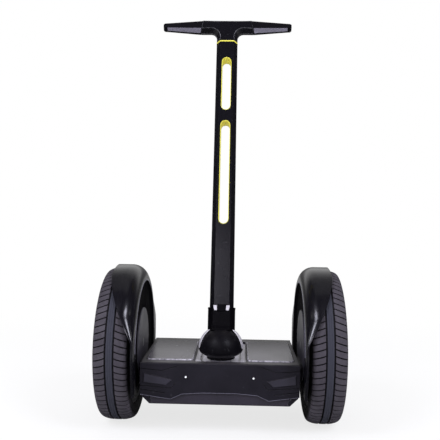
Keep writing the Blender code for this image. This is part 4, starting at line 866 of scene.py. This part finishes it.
def onPost(x, depth, along):
    # A point in the post's own frame: depth towards the rear, along up the post
    sine, cosine = math.sin(postPivot["lean"]), math.cos(postPivot["lean"])
    return Vector((x, postPivot["y"] + depth * cosine + along * sine,
                   postPivot["z"] - depth * sine + along * cosine))


ballForm = {"outer": 0.0572, "inner": 0.0545, "cutAt": 0.0470,
            "skirt": [(-0.0213, 0.0366), (-0.0172, 0.0368), (-0.0158, 0.0374), (-0.0145, 0.0400),
                      (-0.0122, 0.0440), (-0.0090, 0.0496), (-0.0048, 0.0546)],
            "inside": [(-0.0213, 0.0340), (-0.0140, 0.0345), (-0.0105, 0.0420), (-0.0060, 0.0500)]}


def makeBall():
    # The profile goes down the outside and up the inside, as (height, radius)
    def dome(radius, steps):
        return [(z, r) for r, z in arcPoints((0, 0), radius, radius, 0, 72, steps)] + [(radius, 0)]

    outside = ballForm["skirt"] + dome(ballForm["outer"], 18)
    inside = ballForm["inside"] + dome(ballForm["inner"], 12)
    ball = turned("ballShell", outside[::-1] + inside, "Z", (0, postPivot["y"], postPivot["z"]), 96)
    editAll(ball)
    cutBy(onPost(0, 0, ballForm["cutAt"]), onPost(0, 0, 1) - onPost(0, 0, 0), clear_outer=True, use_fill=True)
    editDone()
    roundEdges(ball, 0.0004, 50, 40)
    return ball


handOver(makeBall(), "ball_cover", ballBlack)

trimForm = {"radius": 0.0596, "endRadius": 0.0566, "thick": 0.0016, "from": 36, "to": 88, "front": -33,
            "rear": 18, "narrowing": 0.45, "steps": 18, "across": 12}


def makeBallTrim():
    # A bright crescent laid on the ball, from below the sleeve down to the widest part
    g = trimForm
    dropSelection()
    bpy.ops.mesh.primitive_grid_add(x_subdivisions=g["across"], y_subdivisions=g["steps"], size=1)
    trim = justMade("rightBallCrescent")
    for vertex in trim.data.vertices:
        across, down = vertex.co.x + 0.5, vertex.co.y + 0.5
        tilt = math.radians(g["from"] + (g["to"] - g["from"]) * down)
        swing = math.radians(g["front"] + (g["rear"] - g["front"]) * across)
        swing *= 1.0 - g["narrowing"] * down ** 2  # the lower end is narrower
        r = g["radius"] + (g["endRadius"] - g["radius"]) * down ** 2
        vertex.co = onPost(r * math.sin(tilt) * math.cos(swing), r * math.sin(tilt) * math.sin(swing),
                           r * math.cos(tilt))
    if trim.data.polygons[0].normal.x < 0:
        trim.data.flip_normals()
    useModifier(trim, "SOLIDIFY", thickness=g["thick"], offset=1.0)
    roundEdges(trim, 0.0004, 40, 40)
    return trim


handOverBoth(makeBallTrim(), "leftBallCrescent", "ball_trim", brightTrim)
print("ball made")


# Pieces whose CAD shape is right, with their edges rounded as moulded or machined

edgeWidths = {
    "deck_cover": 0.0005, "front_fascia": 0.0004, "rear_fascia": 0.0004, "belly_cover": 0.0008,
    "console_trim": 0.0008, "post_sleeve": 0.0006, "post_tube": 0.0009, "handlebar": 0.0012,
    "left_grip": 0.0012, "right_grip": 0.0012, "post_ring": 0.0003, "upper_slot_liner": 0.0002,
    "lower_slot_liner": 0.0002, "latch_button": 0.0004, "stand_leg": 0.0006, "stand_boot": 0.0010,
    "stand_bracket": 0.0004, "stand_pin": 0.0003, "tail_lamp": 0.0003, "port_cap": 0.0004,
    "power_button": 0.0003, "steering_pedestal": 0.0006,
}
ownFinish = {"post_sleeve": sleeveBlack, "latch_button": sleeveBlack}
for nodeName, width in edgeWidths.items():
    firstWord, *words = nodeName.split("_")
    shape = cleanCopy(nodeName, firstWord + "".join(word.title() for word in words) + "Shape")
    roundEdges(shape, width)
    handOver(shape, nodeName, ownFinish.get(nodeName))
print("edges rounded:", len(edgeWidths))


consoleTop = {"z": 0.1700, "within": 0.0006}
fasciaFront = {"grooveFrom": -0.1499, "grooveTo": -0.1468, "grooveTop": 0.1795, "raised": -0.1520}


# the console floor faces that take the painted highlight
def onConsole(face):
    return face.normal.z > 0.9 and abs(face.center.z - consoleTop["z"]) < consoleTop["within"]


# the groove floors of the fascia, which take the painted shade
def inGroove(face):
    deep = fasciaFront["grooveFrom"] < face.center.y < fasciaFront["grooveTo"]
    return deep and face.normal.y < -0.7 and face.center.z < fasciaFront["grooveTop"]


def onRaisedPanel(face):
    return face.normal.y < -0.9 and face.center.y < fasciaFront["raised"]


inlay(bpy.data.objects["deckCoverShape"], onConsole, consoleFloor)
inlay(bpy.data.objects["frontFasciaShape"], inGroove, grooveShadePaint)
inlay(bpy.data.objects["frontFasciaShape"], onRaisedPanel, panelPaint)


# Side sills under the base: they fill the corner between its side and the belly

sillForm = {"front": -0.1466, "rear": 0.1466, "edge": 0.0012,
            "section": [(0.1973, 0.1042), (0.1950, 0.0992), (0.1752, 0.0802), (0.1690, 0.0798),
                        (0.1690, 0.0900), (0.1830, 0.1042)]}


def cutFromOutline(name, outline, form):
    # An outline in X and Z, carried from front to rear and rounded
    dropSelection()
    bpy.ops.mesh.primitive_circle_add(vertices=len(outline), radius=0.01, fill_type="NGON")
    piece = justMade(name)
    for vertex, (x, z) in zip(piece.data.vertices, outline):
        vertex.co = (x, form["front"], z)
    editAll(piece)
    extrudeBy((0, form["rear"] - form["front"], 0))
    faceOutwards()
    roundEdges(piece, form["edge"], 20, 35)
    return piece


rightSill = cutFromOutline("rightSideSill", sillForm["section"], sillForm)
addOnBoth(rightSill, "leftSideSill", ("chassis", "chassis"), "satin_black")


# A fine lip along the lower edge of the fascia, painted light grey as a painted highlight on that edge

lipForm = {"high": 0.0009, "front": -0.1511, "rear": -0.1500, "edge": 0.0002,
           "line": [(-0.1975, 0.1036), (-0.122, 0.0931), (-0.094, 0.1061), (-0.040, 0.1101), (0.040, 0.1101),
                    (0.094, 0.1061), (0.122, 0.0931), (0.1975, 0.1036)]}
lipOutline = lipForm["line"] + [(x, z + lipForm["high"]) for x, z in reversed(lipForm["line"])]
addOn(cutFromOutline("frontFasciaLip", lipOutline, lipForm), "chassis", "satin_black", archBead)


# Headlamps: a small bright lens in a dark ring

lampForm = {"x": 0.084, "z": 0.149, "front": -0.1520, "back": -0.1466, "radius": 0.0050, "lens": 0.0027}


def makeLampPiece(name, profile, steps, ring):
    # The profile is (distance along Y, radius) about the lamp's middle
    piece = turned(name, profile, "Y", (lampForm["x"], 0, lampForm["z"]), steps, ring)
    smoothOver(piece, 40, weighted=False)
    return piece


front, back, lens, outer = (lampForm[key] for key in ("front", "back", "lens", "radius"))
lampRing = makeLampPiece("rightLampRing", [
    (back, lens - 0.0003), (front + 0.0014, lens - 0.0001), (front + 0.0002, lens + 0.0005),
    (front, lens + 0.0010), (front + 0.0004, outer - 0.0005), (front + 0.0012, outer),
    (back, outer)], 40, True)
lampGlass = makeLampPiece("rightLampGlass", [
    (back + 0.001, 0), (back + 0.001, lens - 0.0004), (front + 0.0016, lens - 0.0004),
    (front + 0.0009, lens * 0.7), (front + 0.0005, lens * 0.35), (front + 0.0004, 0)], 32, False)
addOnBoth(lampRing, "leftLampRing", ("chassis", "chassis"), "satin_black")
handOverBoth(lampGlass, "leftLampGlass", "headlamp")


# Grips: a thin lighter layer on the lower front facet, short of the grip's ends: a painted reflection of the
# floor

gripReflectionForm = {"from": 0.0745, "to": 0.1795, "z": 1.1036, "slant": 0.35, "rim": 0.0012, "thick": 0.0010}


def makeGripReflection():
    g = gripReflectionForm
    pad = cleanCopy("right_grip", "rightGripInlay")
    editSome(pad, lambda face: not (face.normal.y < -0.6 and -0.8 < face.normal.z < -0.4))
    bpy.ops.mesh.delete(type="FACE")
    for x, lean, outer in ((g["from"], g["slant"], False), (g["to"], 0.0, True)):
        selectAll()
        cutBy((x, 0, g["z"]), (1, 0, lean), clear_outer=outer, clear_inner=not outer)
    selectAll()
    bpy.ops.mesh.dissolve_limited(angle_limit=math.radians(3))
    selectAll()
    bpy.ops.mesh.inset(thickness=g["rim"], use_boundary=True)
    bpy.ops.mesh.select_all(action="INVERT")
    bpy.ops.mesh.delete(type="FACE")
    editDone()
    useModifier(pad, "SOLIDIFY", thickness=g["thick"], offset=0.0)
    roundEdges(pad, 0.0002, 40, 35)
    return pad


addOnBoth(makeGripReflection(), "leftGripInlay", ("steering", "steering"), "grip_rubber", gripInlay)
print("lamps and grips made")


# Foot pads: a crowned top with a rolled rim

padForm = {"rise": 0.0014, "roll": 0.0034, "topAbove": 0.1820, "crown": 0.0038, "cuts": 15}


def makePad(side):
    g = padForm
    pad = cleanCopy(f"{side}_foot_pad", f"{side}PadShape")
    editSome(pad, lambda face: face.normal.z > 0.3 and face.center.z > g["topAbove"])
    bpy.ops.transform.translate(value=(0, 0, g["rise"]))
    editDone()
    roundEdges(pad, g["roll"], smoothBelow=None, segments=5)
    low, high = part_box(f"{side}_foot_pad")
    middle, reach = (low[1] + high[1]) / 2, (high[1] - low[1]) / 2
    onTop = max(vertex.co.z for vertex in pad.data.vertices) - 0.0001
    for cut in range(1, g["cuts"]):
        editSome(pad, lambda face: face.normal.z > 0.95 and face.center.z > onTop)
        cutBy((0, low[1] + 2 * reach * cut / g["cuts"], 0), (0, 1, 0))
        editDone()
    for vertex in pad.data.vertices:
        if vertex.co.z > onTop:
            vertex.co.z += g["crown"] * (1 - ((vertex.co.y - middle) / reach) ** 2)
    smoothOver(pad, 45)
    handOver(pad, f"{side}_foot_pad")


makePad("left")
makePad("right")


# Bright plates on both sides of the latch, folded over the top of the sleeve: a painted highlight on the
# sleeve's chamfers

latchHighlightForm = {"from": 0.0120, "to": 0.0212, "low": 0.0990, "fold": 0.1074, "high": 0.1122,
              "face": -0.0243, "back": -0.0200, "thick": 0.0007, "slant": 0.0026}


def makeLatchHighlight():
    g = latchHighlightForm
    dropSelection()
    bpy.ops.mesh.primitive_plane_add(size=0.01)
    plate = justMade("rightLatchPlate")
    corners = [(g["from"], g["face"], g["low"]), (g["to"] - g["slant"], g["face"], g["low"]),
               (g["from"], g["face"], g["fold"]), (g["to"], g["face"], g["fold"])]
    for vertex in plate.data.vertices:
        vertex.co = onPost(*corners[(vertex.co.x > 0) + 2 * (vertex.co.y > 0)])
    topEdge = onPost(0, g["face"], g["fold"]).z - 0.0005
    points = plate.data.vertices
    editSome(plate, lambda edge: all(points[v].co.z > topEdge for v in edge.vertices), "EDGE")
    extrudeBy(onPost(0, g["back"], g["high"]) - onPost(0, g["face"], g["fold"]))
    faceOutwards()
    if plate.data.polygons[0].normal.y > 0:
        plate.data.flip_normals()
    useModifier(plate, "SOLIDIFY", thickness=g["thick"], offset=1.0)
    roundEdges(plate, 0.0002, 40, 30)
    return plate


addOnBoth(makeLatchHighlight(), "leftLatchPlate", ("steering", "steering"), "silver_trim", brightTrim)
print("pads and latch plates made")


# Small fasteners under the base and at the rear

screwPlaces = {
    "belly": [((x, y, 0.0791), (0, 0, -1)) for x in (-0.155, 0.155) for y in (-0.125, -0.04, 0.045, 0.130)],
    "rear": [((x, 0.1504, z), (0, 1, 0)) for x, z in ((-0.150, 0.176), (0.150, 0.176), (-0.186, 0.110),
                                                      (0.186, 0.110))],
}
for side, places in screwPlaces.items():
    addOn(asPlaced(screwMaster, f"{side}Screws", places), "chassis", "steel")
bpy.data.objects.remove(screwMaster, do_unlink=True)
print("fasteners placed")


# Floor, lights and camera

studio = {
    "white": (1.0, 1.0, 1.0, 1.0), "floorSize": 30.0, "floorPaint": (0.90, 0.90, 0.90, 1.0),
    # the floor's glow by the distance from the board, as the camera sees it and as gloss reflects it; in
    # reflections it is dark near the board, a painted shadow under it:
    # near, far, value near, value far
    "floorSeen": (0.55, 1.9, 0.76, 1.0), "floorMirrored": (0.80, 1.6, 0.05, 0.42), "mirrorShare": 0.97,
    # the world in reflections, by height and by how far it is behind: low, high, value low, value high
    "backdrop": (0.15, 0.34, 0.16, 1.0), "behind": (0.50, 0.90, 0.0, 1.0), "frontDim": 0.015,
    "worldFill": 0.62,
}
lampsUsed = [
    # name, place, aimed at, width, height, watts, colour
    ("keyLeftSoftbox", (-2.30, -2.40, 3.10), (0.0, 0.0, 0.35), 1.1, 1.8, 84, (0.86, 0.86, 1.0)),
    ("keyRightSoftbox", (2.30, -2.40, 3.10), (0.0, 0.0, 0.35), 1.1, 1.8, 84, (0.86, 0.86, 1.0)),
    ("frontSoftbox", (-0.52, -2.40, 1.50), (0.0, 0.0, 0.40), 0.8, 0.45, 7, (0.90, 0.87, 1.0)),
    ("rightSoftbox", (2.3, -0.6, 1.0), (0.1, 0.0, 0.35), 0.35, 1.5, 5, (1.0, 1.0, 1.0)),
    ("leftSoftbox", (-2.3, -0.6, 1.0), (-0.1, 0.0, 0.30), 0.35, 1.5, 5, (1.0, 1.0, 1.0)),
    ("topSoftbox", (0.0, 0.9, 3.0), (0.0, 0.0, 0.2), 1.8, 2.4, 3, (1.0, 1.0, 1.0)),
]
viewpoint = {"place": (0.04390, -1.67323, 0.56609), "turn": (89.0062, -0.7691, 1.8201), "lens": 50.604}


def blended(tree, share, first, second):
    node = added(tree, "MixShader")
    for socket, value in zip(node.inputs, (share, first, second)):
        feed(tree, value, socket)
    return node.outputs["Shader"]


def makeFloor():
    dropSelection()
    bpy.ops.mesh.primitive_plane_add(size=studio["floorSize"], location=(0, 0, 0))
    floor = justMade("paleFloor")
    material = bpy.data.materials.new("paleFloor")
    material.use_nodes = True
    tree = material.node_tree
    tree.nodes.clear()
    matte = added(tree, "BsdfDiffuse")
    matte.inputs["Color"].default_value = studio["floorPaint"]
    glow = added(tree, "Emission")
    glow.inputs["Color"].default_value = studio["white"]
    coords = added(tree, "TexCoord")
    path = added(tree, "LightPath").outputs
    away = added(tree, "VectorMath")
    away.operation = "LENGTH"
    feed(tree, coords.outputs["Object"], away.inputs[0])
    share = between(tree, away.outputs["Value"], *studio["floorSeen"], smooth=True)
    mirroredShade = between(tree, away.outputs["Value"], *studio["floorMirrored"], smooth=True)
    feed(tree, between(tree, path["Is Glossy Ray"], 0.0, 1.0, 1.0, mirroredShade), glow.inputs["Strength"])
    camera = times(tree, path["Is Camera Ray"], share)
    mirror = times(tree, path["Is Glossy Ray"], studio["mirrorShare"])
    glowing = sums(tree, "MAXIMUM", camera, mirror)
    blend = blended(tree, glowing, matte.outputs["BSDF"], glow.outputs["Emission"])
    feed(tree, blend, added(tree, "OutputMaterial").inputs["Surface"])
    paint(floor, material)


def makeWorld():
    # White where the camera looks. In reflections it is white behind the board and dim on the camera's side.
    world = bpy.data.worlds.new("studioWorld")
    bpy.context.scene.world = world
    world.use_nodes = True
    tree = world.node_tree
    tree.nodes.clear()
    path = added(tree, "LightPath").outputs
    heading = axesOf(tree, added(tree, "TexCoord").outputs["Generated"])
    backdrop = between(tree, heading["Z"], *studio["backdrop"], smooth=True)
    behind = between(tree, heading["Y"], *studio["behind"], smooth=True)
    behind = sums(tree, "MAXIMUM", times(tree, behind, backdrop), studio["frontDim"])
    fill = added(tree, "Background")
    white = added(tree, "Background")
    feed(tree, studio["worldFill"], fill.inputs["Strength"])
    feed(tree, sums(tree, "MAXIMUM", path["Is Camera Ray"], behind), white.inputs["Strength"])
    for node in (fill, white):
        node.inputs["Color"].default_value = studio["white"]
    # camera, glossy and transmission rays see the white, and the fill lights the rest
    seen = sums(tree, "MAXIMUM", path["Is Camera Ray"],
                sums(tree, "MAXIMUM", path["Is Glossy Ray"], path["Is Transmission Ray"]))
    blend = blended(tree, seen, fill.outputs["Background"], white.outputs["Background"])
    feed(tree, blend, added(tree, "OutputWorld").inputs["Surface"])


def makeLamps():
    for name, place, target, width, height, watts, colour in lampsUsed:
        bpy.ops.object.light_add(type="AREA", location=place)
        lamp = justMade(name)
        lamp.data.shape = "RECTANGLE"
        lamp.data.size = width
        lamp.data.size_y = height
        lamp.data.energy = watts
        lamp.data.color = colour
        lamp.rotation_euler = (Vector(target) - Vector(place)).to_track_quat("-Z", "Y").to_euler()


def makeCamera():
    bpy.ops.object.camera_add(location=viewpoint["place"])
    camera = bpy.context.object
    camera.rotation_euler = [math.radians(angle) for angle in viewpoint["turn"]]
    camera.data.lens = viewpoint["lens"]
    camera.data.sensor_width = 36.0
    camera.data.sensor_fit = "HORIZONTAL"
    camera.data.clip_start = 0.01
    bpy.context.scene.camera = camera


makeFloor()
makeWorld()
makeLamps()
makeCamera()
bpy.context.scene.view_settings.view_transform = "Standard"
print("studio ready")
